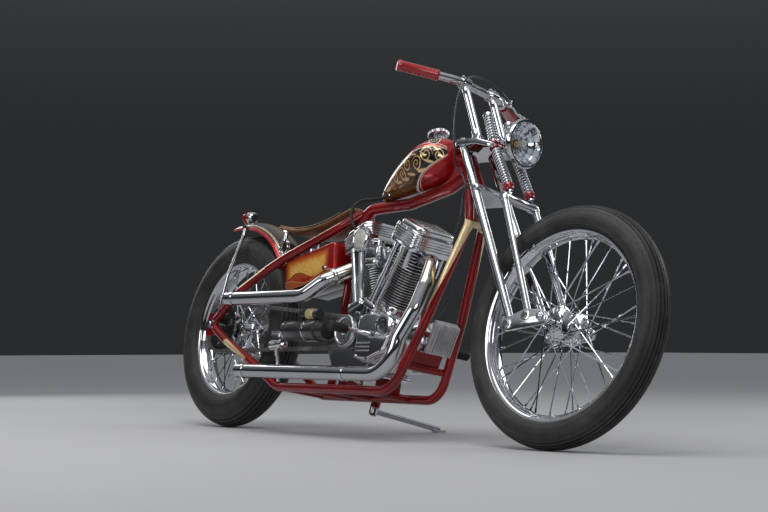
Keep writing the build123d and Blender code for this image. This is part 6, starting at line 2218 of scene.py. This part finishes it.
# Foot pegs: a chromed stem and a grooved rubber barrel.
PEG = Vector((0.93, 0, 0.3))
barrel_stations = [(0.0, 0.0135), (0.04, 0.015)]
for groove in range(7):
    share = 0.1 + groove * 0.118
    barrel_stations += [(share, 0.015), (share + 0.012, 0.0134), (share + 0.03, 0.0134),
                        (share + 0.042, 0.015)]
barrel_stations += [(0.96, 0.015), (1.0, 0.0125)]
for name, sign, foot_y in (("right", -1, 0.1145), ("left", 1, 0.1325)):
    across = Vector((0, sign, 0))
    stem = joined([
        rod(PEG + across * foot_y, PEG + across * 0.211, 0.0068, 20),
        rod(PEG + across * foot_y, PEG + across * (foot_y + 0.009), 0.0112, 6),
    ], f"foot_peg_{name}_dressed")
    fitted(stem, chrome, "frame", f"foot_peg_{name}", slot="chrome")
    barrel = necked(f"peg_rubber_{name}", PEG + across * 0.206, PEG + across * 0.2675, barrel_stations, 36)
    fitted(barrel, rubber, "frame", slot="black_rubber")


# ============================================================ STUDIO
# A pale floor under dark air, soft boxes and a low camera.
def studio_surface():
    paint = Finish("studio_paint", Roughness=0.75)
    place = paint.place()
    paint.tint(paint.noise(place, 0.6, 2), (0.42, 0.42, 0.43), (0.47, 0.47, 0.48))
    return paint.material


bpy.ops.object.select_all(action="DESELECT")
bpy.ops.mesh.primitive_grid_add(x_subdivisions=1, y_subdivisions=1, size=60)
studio_floor = bpy.context.object
studio_floor.name = "studio_floor"
studio_floor.data.materials.append(studio_surface())

# The air is dark at eye level, as drapes are, and pale overhead, so bright metal shows both.
world = bpy.data.worlds.new("studio_air")
world.use_nodes = True
air = world.node_tree.nodes
view_up = air.new("ShaderNodeSeparateXYZ")
world.node_tree.links.new(air.new("ShaderNodeTexCoord").outputs["Generated"], view_up.inputs[0])
overhead = Wire(world.node_tree, view_up.outputs["Z"]).rise(0.1, 0.95)
shade = air.new("ShaderNodeMix")
shade.data_type = "RGBA"
shade.inputs[6].default_value = (0.022, 0.024, 0.026, 1)
shade.inputs[7].default_value = (0.5, 0.51, 0.53, 1)
world.node_tree.links.new(overhead.socket, shade.inputs[0])
world.node_tree.links.new(shade.outputs[2], air["Background"].inputs["Color"])
bpy.context.scene.world = world


def soft_box(name, place, aim, width, height, power):
    """An area lamp pointed at a spot."""
    bpy.ops.object.light_add(type="AREA", location=place)
    lamp = bpy.context.object
    lamp.name = name
    lamp.data.shape = "RECTANGLE"
    lamp.data.size = width
    lamp.data.size_y = height
    lamp.data.energy = power
    lamp.rotation_euler = (Vector(aim) - Vector(place)).to_track_quat("-Z", "Y").to_euler()


soft_box("overhead_box", (0.2, -1.0, 3.4), (0, 0, 0.4), 3.4, 1.6, 62)
soft_box("front_box", (4.4, -2.2, 2.4), (0.2, 0, 0.5), 2.0, 1.6, 34)
soft_box("right_box", (-0.6, -4.2, 2.2), (0, 0, 0.5), 2.6, 1.2, 30)
soft_box("left_box", (0.8, 3.8, 2.2), (0, 0, 0.5), 2.4, 1.2, 32)
soft_box("tail_box", (-4.2, 0.4, 1.8), (-0.3, 0, 0.5), 1.4, 1.8, 24)

LENS_MM = 82.5
CAMERA_FROM_REAR_HUB = Vector((5.244, -3.226, -0.037))
LOOK_UP, LOOK_ROUND = 2.78, 53.8
bpy.ops.object.camera_add(
    location=rear_hub + CAMERA_FROM_REAR_HUB, rotation=(radians(90 + LOOK_UP), 0, radians(LOOK_ROUND))
)
camera = bpy.context.object
camera.data.lens = LENS_MM
bpy.context.scene.camera = camera

bpy.context.scene.view_settings.view_transform = "Standard"
